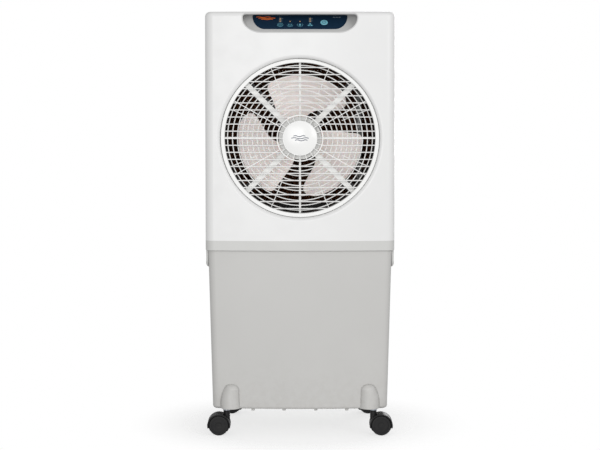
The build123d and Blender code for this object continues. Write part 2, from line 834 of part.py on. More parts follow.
def around_fan(radius, count, first):
    """Points on a circle about the fan's axis, as x and z."""
    for step in range(count):
        angle = radians(first + step * 360 / count)
        yield radius * cos(angle), fan_z + radius * sin(angle)


outlet_screw = screw(screw_length)
guard_screw = screw(guard_screw_length)
bracket_circle = duct_inner + duct_wall + duct_flange / 2
with BuildPart() as duct_screws:
    for x, z in around_fan(screw_circle, 4, 45):
        with Locations(rear_facing(guard_back + duct_wall, x, z)):
            add(outlet_screw)
    for x, z in around_fan(guard_screw_circle, 4, 0):
        with Locations(rear_facing(guard_back + duct_wall, x, z)):
            add(guard_screw)
    for x, z in around_fan(bracket_circle, 4, 45):
        with Locations(rear_facing(bracket_back, x, z)):
            add(guard_screw)
write(duct_screws.part, "duct_screws")

# ---------------------------------------------------------------- louvre wheel
louvre_radius = louvre_diameter / 2
louvre_inner = louvre_radius - louvre_rim_width
slat_middle = (louvre_front + louvre_back) / 2 - 0.5
slat_steps = int(louvre_inner / slat_pitch)
cup_outer = cap_radius + 0.1 + cup_wall
cup_floor_front = louvre_front + 7.0
cup_floor_back = cup_floor_front + cup_wall

with BuildPart() as slats:
    with BuildSketch(Plane.YZ):
        for step in range(-slat_steps, slat_steps + 1):
            thickness = slat_thickness * (1.5 if step == 0 else 1.0)
            with Locations((slat_middle, fan_z + step * slat_pitch)):
                Rectangle(slat_depth, thickness, rotation=0 if step == 0 else slat_tilt)
    extrude(amount=louvre_radius, both=True)
    with BuildSketch(fan_plane(louvre_back)):
        Circle(louvre_inner + 1.0)
        Circle(hub_ring_radius - hub_ring_wall / 2, mode=Mode.SUBTRACT)
    extrude(amount=louvre_rim_depth, mode=Mode.INTERSECT)

with BuildPart() as louvre_wheel:
    with BuildSketch(fan_plane(louvre_back)):
        Circle(louvre_radius)
        Circle(louvre_inner, mode=Mode.SUBTRACT)
    extrude(amount=louvre_rim_depth)
    rim_edges = louvre_wheel.faces().sort_by(Axis.Y)[0].edges()
    fillet(rim_edges, 1.5)
    add(slats.part)
    with BuildSketch(fan_plane(slat_middle + slat_depth / 2)):
        for angle in (rib_angle, -rib_angle):
            Rectangle(2 * louvre_inner + 2.0, rib_thickness, rotation=angle)
        Circle(hub_ring_radius - hub_ring_wall / 2, mode=Mode.SUBTRACT)
    extrude(amount=slat_depth)
    with BuildSketch(fan_plane(louvre_back)):
        Circle(hub_ring_radius)
        Circle(hub_ring_radius - hub_ring_wall, mode=Mode.SUBTRACT)
    extrude(amount=louvre_rim_depth)
    with BuildSketch(fan_plane(louvre_back + 0.5)):
        with PolarLocations((hub_ring_radius + cup_outer) / 2 - hub_ring_wall / 2, hub_rib_count):
            Rectangle(hub_ring_radius - cup_outer - hub_ring_wall + 1.6, rib_thickness)
    extrude(amount=louvre_rim_depth - 2.5)
    with BuildSketch(fan_plane(cup_floor_back)):
        Circle(cup_outer)
    extrude(amount=cup_floor_back - louvre_front)
    with BuildSketch(fan_plane(cup_floor_front)):
        Circle(cap_radius + 0.1)
    extrude(amount=cup_floor_front - louvre_front, mode=Mode.SUBTRACT)
    with BuildSketch(fan_plane(guard_front - 1.5)):
        Circle(louvre_shaft_radius + 4.0)
    extrude(amount=guard_front - 1.5 - cup_floor_back)
    with BuildSketch(fan_plane(guard_front)):
        Circle(louvre_shaft_radius)
    extrude(amount=guard_front - louvre_front, mode=Mode.SUBTRACT)
write(louvre_wheel.part, "louvre_wheel")

cap_curve = (cap_radius**2 + cap_dome**2) / (2 * cap_dome)
with BuildPart() as hub_cap:
    with BuildSketch(Plane.YZ):
        with BuildLine():
            rim_front = louvre_front
            crest = louvre_front - cap_dome
            Line((cup_floor_front, fan_z + cap_radius), (rim_front, fan_z + cap_radius))
            CenterArc((crest + cap_curve, fan_z), cap_curve, 180 - degrees(asin(cap_radius / cap_curve)),
                      degrees(asin(cap_radius / cap_curve)))
            Line((crest, fan_z), (crest + cup_wall, fan_z))
            Line((crest + cup_wall, fan_z), (rim_front + cup_wall, fan_z + cap_radius - cup_wall))
            Line((rim_front + cup_wall, fan_z + cap_radius - cup_wall),
                 (cup_floor_front, fan_z + cap_radius - cup_wall))
            Line((cup_floor_front, fan_z + cap_radius - cup_wall), (cup_floor_front, fan_z + cap_radius))
        make_face()
    revolve(axis=Axis((0, 0, fan_z), (0, 1, 0)))
write(hub_cap.part, "hub_cap")

motor_front = guard_front + guard_plate_thickness
with BuildPart() as louvre_motor:
    with BuildSketch(fan_plane(motor_front + louvre_motor_depth)):
        Circle(louvre_motor_radius)
    extrude(amount=louvre_motor_depth)
    fillet(louvre_motor.faces().sort_by(Axis.Y)[-1].edges(), 1.5)
    with BuildSketch(fan_plane(motor_front + louvre_motor_depth / 2)):
        Circle(louvre_shaft_radius + running_clearance)
    extrude(amount=louvre_motor_depth / 2, mode=Mode.SUBTRACT)
write(louvre_motor.part, "louvre_motor")

with BuildPart() as louvre_shaft:
    with BuildSketch(fan_plane(motor_front + louvre_motor_depth / 2 - 0.5)):
        Circle(louvre_shaft_radius)
    extrude(amount=motor_front + louvre_motor_depth / 2 - 0.5 - cup_floor_front)
write(louvre_shaft.part, "louvre_shaft")

# ================================================================ fan, motor and bracket
fan_radius = duct_inner - blade_tip_clearance


def polar(radius, angle):
    """A point given by its distance from the fan's axis and its angle from the blade's middle."""
    return radius * cos(radians(angle)), radius * sin(radians(angle))


# One wide blade: a strip of helicoid, cut to a swept outline. Its own +Z points to the front.
blade_first = -50.0
blade_last = 58.0
blade_root = fan_hub_radius - 4.0
blade_overrun = 8.0
with BuildPart() as blade:
    with BuildLine():
        Helix(blade_pitch, blade_pitch * (blade_last - blade_first) / 360, fan_hub_radius)
    with BuildSketch(Plane.XZ):
        with Locations((blade_root + (fan_radius + blade_overrun - fan_hub_radius) / 2, 0)):
            Rectangle(fan_radius + blade_overrun - fan_hub_radius, blade_thickness)
    sweep(is_frenet=True)

with BuildPart() as fan_blade:
    with Locations(Location((0, 0, 2.0), (0, 0, blade_first))):
        add(blade.part)
    with BuildSketch(Plane.XY.offset(-10.0)):
        with BuildLine():
            Spline(polar(blade_root, -2), polar(0.51 * fan_radius, -23), polar(0.73 * fan_radius, -43),
                   polar(0.88 * fan_radius, -46), polar(0.974 * fan_radius, -39), polar(fan_radius, -32))
            ThreePointArc(polar(fan_radius, -32), polar(fan_radius, 0), polar(fan_radius, 38))
            Spline(polar(fan_radius, 38), polar(0.967 * fan_radius, 42.5), polar(0.83 * fan_radius, 45),
                   polar(0.6 * fan_radius, 50), polar(blade_root, 58))
            Line(polar(blade_root, 58), polar(blade_root, -2))
        make_face()
    extrude(amount=blade_axial_depth + 30.0, mode=Mode.INTERSECT)

with BuildPart() as fan_rotor:
    with BuildSketch():
        Circle(fan_hub_radius)
    extrude(amount=blade_axial_depth)
    fillet(fan_rotor.faces().sort_by(Axis.Z)[-1].edges(), 6.0)
    with BuildSketch():
        Circle(fan_hub_radius - 3.0)
        Circle(fan_shaft_radius + 6.0, mode=Mode.SUBTRACT)
    extrude(amount=blade_axial_depth - 4.0, mode=Mode.SUBTRACT)
    with PolarLocations(0, blade_count, start_angle=blade_rest_angle):
        add(fan_blade.part)
    with BuildSketch():
        Circle(fan_shaft_radius)
    extrude(amount=blade_axial_depth, mode=Mode.SUBTRACT)

with BuildPart() as fan_blades:
    with Locations(fan_plane(blade_back)):
        add(fan_rotor.part)
write(fan_blades.part, "fan_blades")

with BuildPart() as blade_nut:
    with BuildSketch(fan_plane(hub_front)):
        Circle(nut_radius)
    extrude(amount=nut_length)
    fillet(blade_nut.faces().sort_by(Axis.Y)[0].edges(), nut_length * 0.6)
    with BuildSketch(fan_plane(hub_front)):
        Circle(fan_shaft_radius)
    extrude(amount=nut_length * 0.6, mode=Mode.SUBTRACT)
write(blade_nut.part, "blade_nut")

shaft_end = bracket_back + motor_length * 0.6
with BuildPart() as fan_shaft:
    with BuildSketch(fan_plane(shaft_end)):
        Circle(fan_shaft_radius)
    extrude(amount=shaft_end - hub_front + nut_length * 0.6)
write(fan_shaft.part, "fan_shaft")

with BuildPart() as motor_bracket:
    with BuildSketch(fan_plane(bracket_back)):
        Circle(motor_radius + 6.0)
        with PolarLocations(bracket_circle / 2 + 2.0, 4, start_angle=45):
            Rectangle(bracket_circle, bracket_arm_width)
        Circle(fan_shaft_radius + 8.0, mode=Mode.SUBTRACT)
        with PolarLocations(bracket_circle, 4, start_angle=45):
            Circle(screw_radius + screw_play, mode=Mode.SUBTRACT)
    extrude(amount=bracket_thickness)
    # a stiffening rib along the back of each arm
    with BuildSketch(fan_plane(bracket_back + 8.0)):
        with PolarLocations((motor_radius + bracket_circle) / 2 - 2.0, 4, start_angle=45):
            Rectangle(bracket_circle - motor_radius - 24.0, 3.0)
    extrude(amount=8.0)
write(motor_bracket.part, "motor_bracket")

with BuildPart() as fan_motor:
    with BuildSketch(fan_plane(bracket_back + motor_length)):
        Circle(motor_radius)
    extrude(amount=motor_length)
    motor_ends = fan_motor.faces().sort_by(Axis.Y)
    fillet(motor_ends[0].edges() + motor_ends[-1].edges(), 8.0)
    with BuildSketch(fan_plane(bracket_back + motor_length - motor_bell_length)):
        Circle(motor_radius + 1.0)
        Circle(motor_radius - 2.0, mode=Mode.SUBTRACT)
    extrude(amount=motor_length - 2 * motor_bell_length, mode=Mode.SUBTRACT)
    with BuildSketch(fan_plane(shaft_end + 1.0)):
        Circle(fan_shaft_radius + running_clearance)
    extrude(amount=shaft_end + 1.0 - bracket_back, mode=Mode.SUBTRACT)
write(fan_motor.part, "fan_motor")

# ================================================================ intake: frame, pad, filter and grille
back_wall_inside = back_y - wall
with BuildPart() as pad_frame:
    with BuildSketch(back_plane(pad_front - frame_wall, intake_middle)):
        RectangleRounded(2 * (intake_half_width + frame_wall), intake_height + 2 * frame_wall,
                         opening_corner_radius + frame_wall)
        RectangleRounded(2 * intake_half_width, intake_height, opening_corner_radius, mode=Mode.SUBTRACT)
    extrude(amount=back_wall_inside - pad_front + frame_wall)
    with BuildSketch(back_plane(pad_front - frame_wall, intake_middle)):
        RectangleRounded(2 * intake_half_width + frame_wall, intake_height + frame_wall,
                         opening_corner_radius)
        RectangleRounded(2 * (intake_half_width - frame_rail), intake_height - 2 * frame_rail, 6.0,
                         mode=Mode.SUBTRACT)
    extrude(amount=frame_wall)
    # slots that let the water fall from the trough and leave at the bottom
    with BuildSketch(Plane.XY.offset(intake_bottom - 2 * frame_wall)):
        with Locations((0, pad_front + pad_thickness / 2)):
            SlotOverall(2 * intake_half_width - 60.0, pad_thickness / 4)
    extrude(amount=intake_height + 4 * frame_wall, mode=Mode.SUBTRACT)
write(pad_frame.part, "pad_frame")

with BuildPart() as cooling_pad:
    with BuildSketch(back_plane(pad_front, intake_middle)):
        RectangleRounded(2 * pad_half_width, intake_height - 2 * pad_play, opening_corner_radius)
    extrude(amount=pad_thickness)
write(cooling_pad.part, "cooling_pad")

plug_half_width = intake_half_width - plug_play
plug_height = intake_height - 2 * plug_play
filter_back = pad_back + filter_gap + filter_thickness
grille_window_half = intake_half_width - intake_border / 2
grille_window_height = intake_height - intake_border
intake_slats = int(grille_window_height / intake_slat_pitch)
with BuildPart() as slat_bank:
    with BuildSketch(Plane.YZ):
        with Locations((back_y + grille_standout / 2, intake_middle)):
            with GridLocations(0, intake_slat_pitch, 1, intake_slats):
                Rectangle(intake_slat_depth, intake_slat_thickness, rotation=-intake_slat_tilt)
    extrude(amount=grille_window_half + 1.0, both=True)
    with BuildSketch(back_plane(back_y, intake_middle)):
        Rectangle(2 * grille_window_half + 2.0, grille_window_height + 2.0)
    extrude(amount=grille_standout, mode=Mode.INTERSECT)

with BuildPart() as intake_grille:
    with BuildSketch(back_plane(back_y + intake_rest_gap, intake_middle)):
        RectangleRounded(2 * (intake_half_width + intake_border), intake_height + 2 * intake_border,
                         opening_corner_radius)
    extrude(amount=grille_standout - intake_rest_gap)
    fillet(intake_grille.faces().sort_by(Axis.Y)[-1].edges(), 3.0)
    with BuildSketch(back_plane(back_y, intake_middle)):
        RectangleRounded(2 * grille_window_half, grille_window_height, opening_corner_radius - 6.0)
    extrude(amount=grille_standout, mode=Mode.SUBTRACT)
    add(slat_bank.part)
    with BuildSketch(back_plane(back_y + intake_rest_gap, intake_middle)):
        with GridLocations(grille_window_half * 2 / 3, 0, 2, 1):
            Rectangle(4.0, grille_window_height + 2.0)
    extrude(amount=grille_standout - intake_rest_gap)
    with BuildSketch(back_plane(filter_back, intake_middle)):
        RectangleRounded(2 * plug_half_width, plug_height, opening_corner_radius - plug_play)
        RectangleRounded(2 * (plug_half_width - plug_wall), plug_height - 2 * plug_wall,
                         opening_corner_radius - plug_play - plug_wall, mode=Mode.SUBTRACT)
    extrude(amount=back_y + 1.0 - filter_back)
write(intake_grille.part, "intake_grille")

with BuildPart() as dust_filter:
    with BuildSketch(back_plane(filter_back - filter_thickness, intake_middle)):
        RectangleRounded(2 * plug_half_width, plug_height, opening_corner_radius - plug_play)
    extrude(amount=filter_thickness)
write(dust_filter.part, "dust_filter")

# ================================================================ water circuit
trough_bottom = intake_top + frame_wall
trough_half = intake_half_width - distributor_end_margin
trough_depth = pad_thickness - 2 * distributor_side_margin
trough_middle = pad_front + pad_thickness / 2
trough_front = trough_middle - trough_depth / 2
hose_top = trough_bottom + distributor_height / 2
with BuildPart() as water_distributor:
    with BuildSketch(Plane.XY.offset(trough_bottom)):
        with Locations((0, trough_middle)):
            RectangleRounded(2 * trough_half, trough_depth, 6.0)
    extrude(amount=distributor_height)
    with BuildSketch(Plane.XY.offset(trough_bottom + distributor_wall)):
        with Locations((0, trough_middle)):
            RectangleRounded(2 * (trough_half - distributor_wall), trough_depth - 2 * distributor_wall, 3.5)
    extrude(amount=distributor_height, mode=Mode.SUBTRACT)
    with BuildSketch(Plane.XY.offset(trough_bottom)):
        with Locations((0, trough_middle)):
            drips = int((2 * intake_half_width - 100.0) / drip_hole_pitch)
            with GridLocations(drip_hole_pitch, 0, drips, 1):
                Circle(drip_hole_radius)
    extrude(amount=distributor_wall, mode=Mode.SUBTRACT)
    with BuildSketch(back_plane(trough_front - spigot_length, hose_top)):
        with Locations((-hose_x, 0)):
            Circle(hose_inner_radius - spigot_clearance)
    extrude(amount=spigot_length + distributor_wall / 2)
    with BuildSketch(back_plane(trough_front - spigot_length, hose_top)):
        with Locations((-hose_x, 0)):
            Circle(hose_inner_radius - spigot_wall)
    extrude(amount=spigot_length + distributor_wall, mode=Mode.SUBTRACT)
write(water_distributor.part, "water_distributor")

tank_floor = tank_bottom + wall
strainer_top = tank_floor + strainer_height
pump_top = tank_floor + pump_height
with BuildPart() as pump_strainer:
    with BuildSketch(Plane.XY.offset(tank_floor)):
        with Locations((hose_x, hose_y)):
            Circle(pump_radius + strainer_wall)
            Circle(pump_radius, mode=Mode.SUBTRACT)
    extrude(amount=strainer_top - tank_floor)
    with BuildSketch(Plane.XY.offset(tank_floor)):
        with Locations((hose_x, hose_y)):
            with PolarLocations(pump_radius + strainer_wall / 2, 16):
                Rectangle(8.0, 5.0)
    extrude(amount=8.0, mode=Mode.SUBTRACT)
    with BuildSketch(Plane.XY.offset(strainer_top - strainer_lid)):
        with Locations((hose_x, hose_y)):
            Circle(pump_radius + strainer_wall / 2)
            Circle(pump_radius * 0.3, mode=Mode.SUBTRACT)
    extrude(amount=strainer_lid)
write(pump_strainer.part, "pump_strainer")

with BuildPart() as water_pump:
    with BuildSketch(Plane.XY.offset(strainer_top)):
        with Locations((hose_x, hose_y)):
            Circle(pump_radius)
    extrude(amount=pump_top - strainer_top)
    fillet(water_pump.faces().sort_by(Axis.Z)[-1].edges(), 5.0)
    with BuildSketch(Plane.XY.offset(pump_top)):
        with Locations((hose_x, hose_y)):
            Circle(hose_inner_radius - spigot_clearance)
    extrude(amount=pump_spigot_length)
    with BuildSketch(Plane.XY.offset(pump_top - pump_outlet_depth)):
        with Locations((hose_x, hose_y)):
            Circle(hose_inner_radius - spigot_wall)
    extrude(amount=pump_outlet_depth + pump_spigot_length, mode=Mode.SUBTRACT)
write(water_pump.part, "water_pump")

with BuildPart() as supply_hose:
    with BuildLine() as hose_route:
        FilletPolyline((hose_x, hose_y, pump_top), (hose_x, hose_y, hose_top),
                       (hose_x, trough_front, hose_top), radius=hose_bend_radius)
    with BuildSketch(Plane.XY.offset(pump_top)):
        with Locations((hose_x, hose_y)):
            Circle(hose_outer_radius)
            Circle(hose_inner_radius, mode=Mode.SUBTRACT)
    sweep(path=hose_route.wires()[0])
write(supply_hose.part, "supply_hose")

rod_bottom = tank_rim - float_drop
with BuildPart() as float_rod:
    with BuildSketch(Plane.XY.offset(rod_bottom)):
        with Locations((float_x, float_y)):
            Circle(float_rod_radius)
    extrude(amount=tank_rim + deck_web - rod_bottom)
    with BuildSketch(Plane.XY.offset(rod_bottom)):
        with Locations((float_x, float_y)):
            Circle(float_rod_radius + rod_foot_margin)
    extrude(amount=rod_foot)
write(float_rod.part, "float_rod")

with BuildPart() as tank_float:
    with BuildSketch(Plane.XY.offset(rod_bottom + rod_foot + float_rest_gap)):
        with Locations((float_x, float_y)):
            Circle(float_radius)
    extrude(amount=float_height)
    fillet(tank_float.edges().filter_by(GeomType.CIRCLE), 4.0)
    with BuildSketch(Plane.XY.offset(rod_bottom)):
        with Locations((float_x, float_y)):
            Circle(float_rod_radius + running_clearance)
    extrude(amount=float_height + 2 * rod_foot, mode=Mode.SUBTRACT)
write(tank_float.part, "tank_float")

# ================================================================ controls
floor_back = -bezel_floor
flange_top = floor_back - 0.2
flange_bottom = flange_top - key_flange
switch_top = flange_bottom - key_travel - 0.4
board_top = -board_drop
key_top = overlay_thickness + key_standout
key_places = {name: (x, key_row, key_radius) for name, x in key_columns.items()}
key_places["power_key"] = (key_columns["power_key"], power_key_row, power_key_radius)
light_places = [
    (x, light_row + step * light_pitch)
    for name, x in key_columns.items()
    for step in range(3 if name in scale_keys else 1)
    if name != "power_key"
]

plate_half_width = recess_top_half + 2 * bezel_wall
plate_depth = 2 * slope_length
with BuildPart() as control_bezel:
    add(recess_block(bezel_wall))
    add(housing_outer.part, mode=Mode.INTERSECT)
    # the floor's underside, and the recess in front of the floor
    with BuildSketch(control_plane.offset(floor_back)):
        with Locations((0, slope_length / 2)):
            Rectangle(2 * plate_half_width, plate_depth)
    extrude(amount=plate_depth, mode=Mode.INTERSECT)
    with BuildPart(mode=Mode.PRIVATE) as recess_space:
        add(recess_block(0.0))
        with BuildSketch(control_plane):
            with Locations((0, slope_length / 2)):
                Rectangle(2 * plate_half_width, plate_depth)
        extrude(amount=plate_depth, mode=Mode.INTERSECT)
    add(recess_space.part, mode=Mode.SUBTRACT)
    with BuildSketch(control_plane.offset(floor_back)):
        for x, along, radius in key_places.values():
            with Locations((x, along)):
                Circle(radius + key_clearance)
    extrude(amount=bezel_floor, mode=Mode.SUBTRACT)
write(control_bezel.part, "control_bezel")

overlay = boat_outline(
    recess_top_half - overlay_side_margin,
    recess_bottom_half - overlay_corner_shift,
    overlay_bottom_margin,
    slope_length - overlay_top_margin,
    overlay_corner,
)
with BuildPart() as control_overlay:
    with BuildSketch(control_plane):
        add(overlay)
        for x, along, radius in key_places.values():
            with Locations((x, along)):
                Circle(radius + key_clearance, mode=Mode.SUBTRACT)
        with Locations(*light_places):
            Circle(light_radius + light_clearance, mode=Mode.SUBTRACT)
    extrude(amount=overlay_thickness)
write(control_overlay.part, "control_overlay")

for key_name, (x, along, radius) in key_places.items():
    with BuildPart() as key:
        with BuildSketch(control_plane.offset(flange_bottom)):
            with Locations((x, along)):
                Circle(radius)
        extrude(amount=key_top - flange_bottom)
        top_face = key.faces().sort_by(Axis((0, 0, 0), tuple(control_plane.z_dir)))[-1]
        fillet(top_face.edges(), 0.5)
        with BuildSketch(control_plane.offset(flange_bottom)):
            with Locations((x, along)):
                Circle(radius + key_flange)
        extrude(amount=key_flange)
    write(key.part, key_name)

with BuildPart() as indicator_lights:
    with BuildSketch(control_plane):
        with Locations(*light_places):
            Circle(light_radius)
    extrude(amount=overlay_thickness + 0.15)
write(indicator_lights.part, "indicator_lights")

box_middle = (
    (control_box_low[0] + control_box_high[0]) / 2,
    (control_box_low[1] + control_box_high[1]) / 2,
)
box_width = control_box_high[0] - control_box_low[0]
box_length = control_box_high[1] - control_box_low[1]
box_inside_width = box_width - 2 * control_box_wall
box_inside_length = box_length - 2 * control_box_wall
box_floor = floor_back - control_box_depth + control_box_wall
with BuildPart() as control_box:
    with BuildSketch(control_plane.offset(floor_back - control_box_depth)):
        with Locations(box_middle):
            RectangleRounded(box_width, box_length, 5.0)
    extrude(amount=control_box_depth)
    with BuildSketch(control_plane.offset(box_floor)):
        with Locations(box_middle):
            RectangleRounded(box_inside_width, box_inside_length, 3.0)
    extrude(amount=control_box_depth, mode=Mode.SUBTRACT)
    # four posts carry the board
    with BuildSketch(control_plane.offset(box_floor)):
        with Locations(box_middle):
            with GridLocations(box_inside_width - box_post, box_inside_length - box_post, 2, 2):
                Rectangle(box_post, box_post)
    extrude(amount=board_top - board_thickness - box_floor)
write(control_box.part, "control_box")

# The board carries a push switch under each key.
with BuildPart() as control_board:
    with BuildSketch(control_plane.offset(board_top - board_thickness)):
        with Locations(box_middle):
            RectangleRounded(box_inside_width - 2 * board_play, box_inside_length - 2 * board_play, 2.5)
    extrude(amount=board_thickness)
    with BuildSketch(control_plane.offset(board_top)):
        for x, along, radius in key_places.values():
            with Locations((x, along)):
                Rectangle(switch_size, switch_size)
    extrude(amount=switch_body_height)
    with BuildSketch(control_plane.offset(board_top)):
        for x, along, radius in key_places.values():
            with Locations((x, along)):
                Circle(switch_size / 4)
    extrude(amount=switch_top - board_top)
write(control_board.part, "control_board")

# ================================================================ castors
# Each piece is made once about its stem, with the wheels trailing towards +X.
hood_inner = wheel_radius + hood_clearance
hood_outer = hood_inner + hood_thickness
wheel_inner_side = castor_web / 2 + wheel_side_clearance
wheel_outer_side = castor_width / 2 - 0.5
hub_end = wheel_outer_side - 2.5
skirt_level = wheel_radius - 6.0
web_level = 8.0
cavity_width = (castor_width - castor_web) / 2
bore_bottom = castor_wheel_diameter * 0.76


def upright(side):
    """The upright plane at distance side from the castor's middle, centred on the wheels' axis."""
    return Plane(origin=(castor_trail, side, wheel_radius), x_dir=(1, 0, 0), z_dir=(0, -1, 0))


with BuildPart() as castor_hood:
    with BuildSketch(upright(castor_width / 2)):
        Circle(hood_outer)
        with Locations((0, skirt_level - wheel_radius - hood_outer)):
            Rectangle(4 * hood_outer, 2 * hood_outer, mode=Mode.SUBTRACT)
    extrude(amount=castor_width)
    with BuildSketch(Plane.XY.offset(wheel_radius)):
        Circle(neck_radius)
    extrude(amount=neck_top - wheel_radius)
    for side in (-1, 1):
        with BuildSketch(upright(side * (castor_web + castor_width) / 4 + cavity_width / 2)):
            Circle(hood_inner)
        extrude(amount=cavity_width, mode=Mode.SUBTRACT)
    with BuildSketch(upright(castor_web / 2)):
        Circle(hood_inner + 1.0)
        with Locations((0, web_level - wheel_radius - hood_outer)):
            Rectangle(4 * hood_outer, 2 * hood_outer, mode=Mode.SUBTRACT)
    extrude(amount=castor_web)
    with BuildSketch(upright(castor_web)):
        Circle(axle_radius)
    extrude(amount=2 * castor_web, mode=Mode.SUBTRACT)
    with BuildSketch(Plane.XY.offset(bore_bottom)):
        Circle(stem_radius + running_clearance)
    extrude(amount=neck_top, mode=Mode.SUBTRACT)

with BuildPart() as castor_axle:
    with BuildSketch(upright(hub_end - 0.5)):
        Circle(axle_radius)
    extrude(amount=2 * hub_end - 1.0)

with BuildPart() as castor_wheel:
    with BuildSketch(upright(-wheel_inner_side)):
        Circle(wheel_radius)
    extrude(amount=wheel_outer_side - wheel_inner_side)
    fillet(castor_wheel.edges().filter_by(GeomType.CIRCLE), 2.2)
    with BuildSketch(upright(-wheel_outer_side + 2.0)):
        Circle(wheel_radius * 0.76)
        Circle(wheel_radius * 0.3, mode=Mode.SUBTRACT)
    extrude(amount=2.0, mode=Mode.SUBTRACT)
    with BuildSketch(upright(-wheel_inner_side)):
        Circle(axle_radius + running_clearance)
    extrude(amount=hub_end - wheel_inner_side, mode=Mode.SUBTRACT)

with BuildPart() as castor_stem:
    with BuildSketch(Plane.XY.offset(bore_bottom + 1.0)):
        Circle(stem_radius)
    extrude(amount=stem_top - bore_bottom - 1.0)
    with BuildSketch(Plane.XY.offset(neck_top + swivel_gap)):
        Circle(stem_collar_radius)
    extrude(amount=stem_collar_height)

with BuildPart() as other_wheel:
    add(castor_wheel.part)
    mirror(about=Plane.XZ, mode=Mode.REPLACE)

castor_pieces = {
    "hood": castor_hood.part,
    "axle": castor_axle.part,
    "wheel_a": castor_wheel.part,
    "wheel_b": other_wheel.part,
}
for corner, (x, y, heading) in castors.items():
    for piece_name, prototype in castor_pieces.items():
        with BuildPart() as castor_piece:
            with Locations(Location((x, y, 0), (0, 0, heading))):
                add(prototype)
        write(castor_piece.part, f"{corner}_castor_{piece_name}")

with BuildPart() as castor_stems:
    for x, y, heading in castors.values():
        with Locations((x, y, 0)):
            add(castor_stem.part)
write(castor_stems.part, "castor_stems")
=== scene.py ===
# %% [markdown]
# # An evaporative cooler, dressed for its picture
# The cooler stands on four castors: a grey water tank below, a white housing above, and a round outlet with a
# slow louvre wheel in front of the fan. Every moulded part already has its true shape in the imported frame. This
# script gives each of them a finish, and makes what has to be a mesh: the corrugated pad, the woven dust filter
# and the printed signs.

# %% Load the frame
import json
from math import cos, pi, radians, sin, sqrt

import bmesh
import bpy
from mathutils import Matrix, Vector


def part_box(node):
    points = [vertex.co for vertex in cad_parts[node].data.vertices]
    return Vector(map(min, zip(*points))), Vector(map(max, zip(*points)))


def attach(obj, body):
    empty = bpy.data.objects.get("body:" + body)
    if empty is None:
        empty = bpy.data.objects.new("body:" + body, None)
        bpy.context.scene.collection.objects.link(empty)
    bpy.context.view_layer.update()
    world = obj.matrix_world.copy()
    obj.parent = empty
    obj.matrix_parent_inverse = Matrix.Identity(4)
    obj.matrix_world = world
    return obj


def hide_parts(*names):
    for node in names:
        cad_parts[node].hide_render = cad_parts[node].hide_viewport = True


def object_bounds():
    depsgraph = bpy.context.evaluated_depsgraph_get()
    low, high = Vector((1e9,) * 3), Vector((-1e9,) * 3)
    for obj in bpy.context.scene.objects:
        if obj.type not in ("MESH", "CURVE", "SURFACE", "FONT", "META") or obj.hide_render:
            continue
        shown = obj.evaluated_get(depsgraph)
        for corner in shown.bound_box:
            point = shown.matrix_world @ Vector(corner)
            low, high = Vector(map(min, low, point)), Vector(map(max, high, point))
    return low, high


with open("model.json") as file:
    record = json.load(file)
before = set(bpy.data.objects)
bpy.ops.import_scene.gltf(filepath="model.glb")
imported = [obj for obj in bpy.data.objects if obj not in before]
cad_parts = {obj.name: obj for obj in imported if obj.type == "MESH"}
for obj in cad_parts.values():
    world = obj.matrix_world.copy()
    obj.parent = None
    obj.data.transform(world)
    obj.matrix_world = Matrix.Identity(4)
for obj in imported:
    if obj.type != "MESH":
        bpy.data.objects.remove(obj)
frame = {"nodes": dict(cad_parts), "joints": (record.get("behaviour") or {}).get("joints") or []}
nodes = frame["nodes"]
cad_low, cad_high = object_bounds()

# %% [markdown]
# ## Places
# Every place is read from the frame's own boxes, so a frame with other sizes moves all of this with it.


# %% Places
def middle(node):
    """The middle of a node's box."""
    low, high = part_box(node)
    return (low + high) / 2


fan_centre = middle("louvre_wheel")
front_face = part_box("front_panel")[0].y
print("outlet centre", [round(v, 4) for v in fan_centre])

# %% [markdown]
# ## Camera
# The cooler is seen squarely from the front, from far enough for its upright edges to stay nearly parallel. The
# lens is level with the upper body and looks very slightly down. What that leaves of the framing is a small
# shift of the picture, as a product photographer shifts a view camera, so the uprights hardly lean.

# %% Camera
distance = 4.3
lens_height = 0.86
tilt = radians(3.4)
picture_width = 1.4475
picture_middle = 0.5183
drop = lens_height - picture_middle
forward = distance * cos(tilt) + drop * sin(tilt)
upward = distance * sin(tilt) - drop * cos(tilt)
camera_data = bpy.data.cameras.new("camera")
camera_data.sensor_width = 36.0
camera_data.lens = camera_data.sensor_width * distance / picture_width
camera_data.shift_y = upward / forward * distance / picture_width
camera = bpy.data.objects.new("camera", camera_data)
camera.location = (0.0, front_face - distance, lens_height)
camera.rotation_euler = (radians(90) - tilt, 0, 0)
bpy.context.scene.collection.objects.link(camera)
bpy.context.scene.camera = camera
print("lens", round(camera_data.lens, 1), "shift", round(camera_data.shift_y, 3))

# %% [markdown]
# ## Light
# A white plastic body on a white ground needs light from every side, with one side a little stronger so that
# the edges read. The world gives the even part. Camera rays see a white world, and the light that it casts is
# weaker, so the body keeps its own tone against the ground.

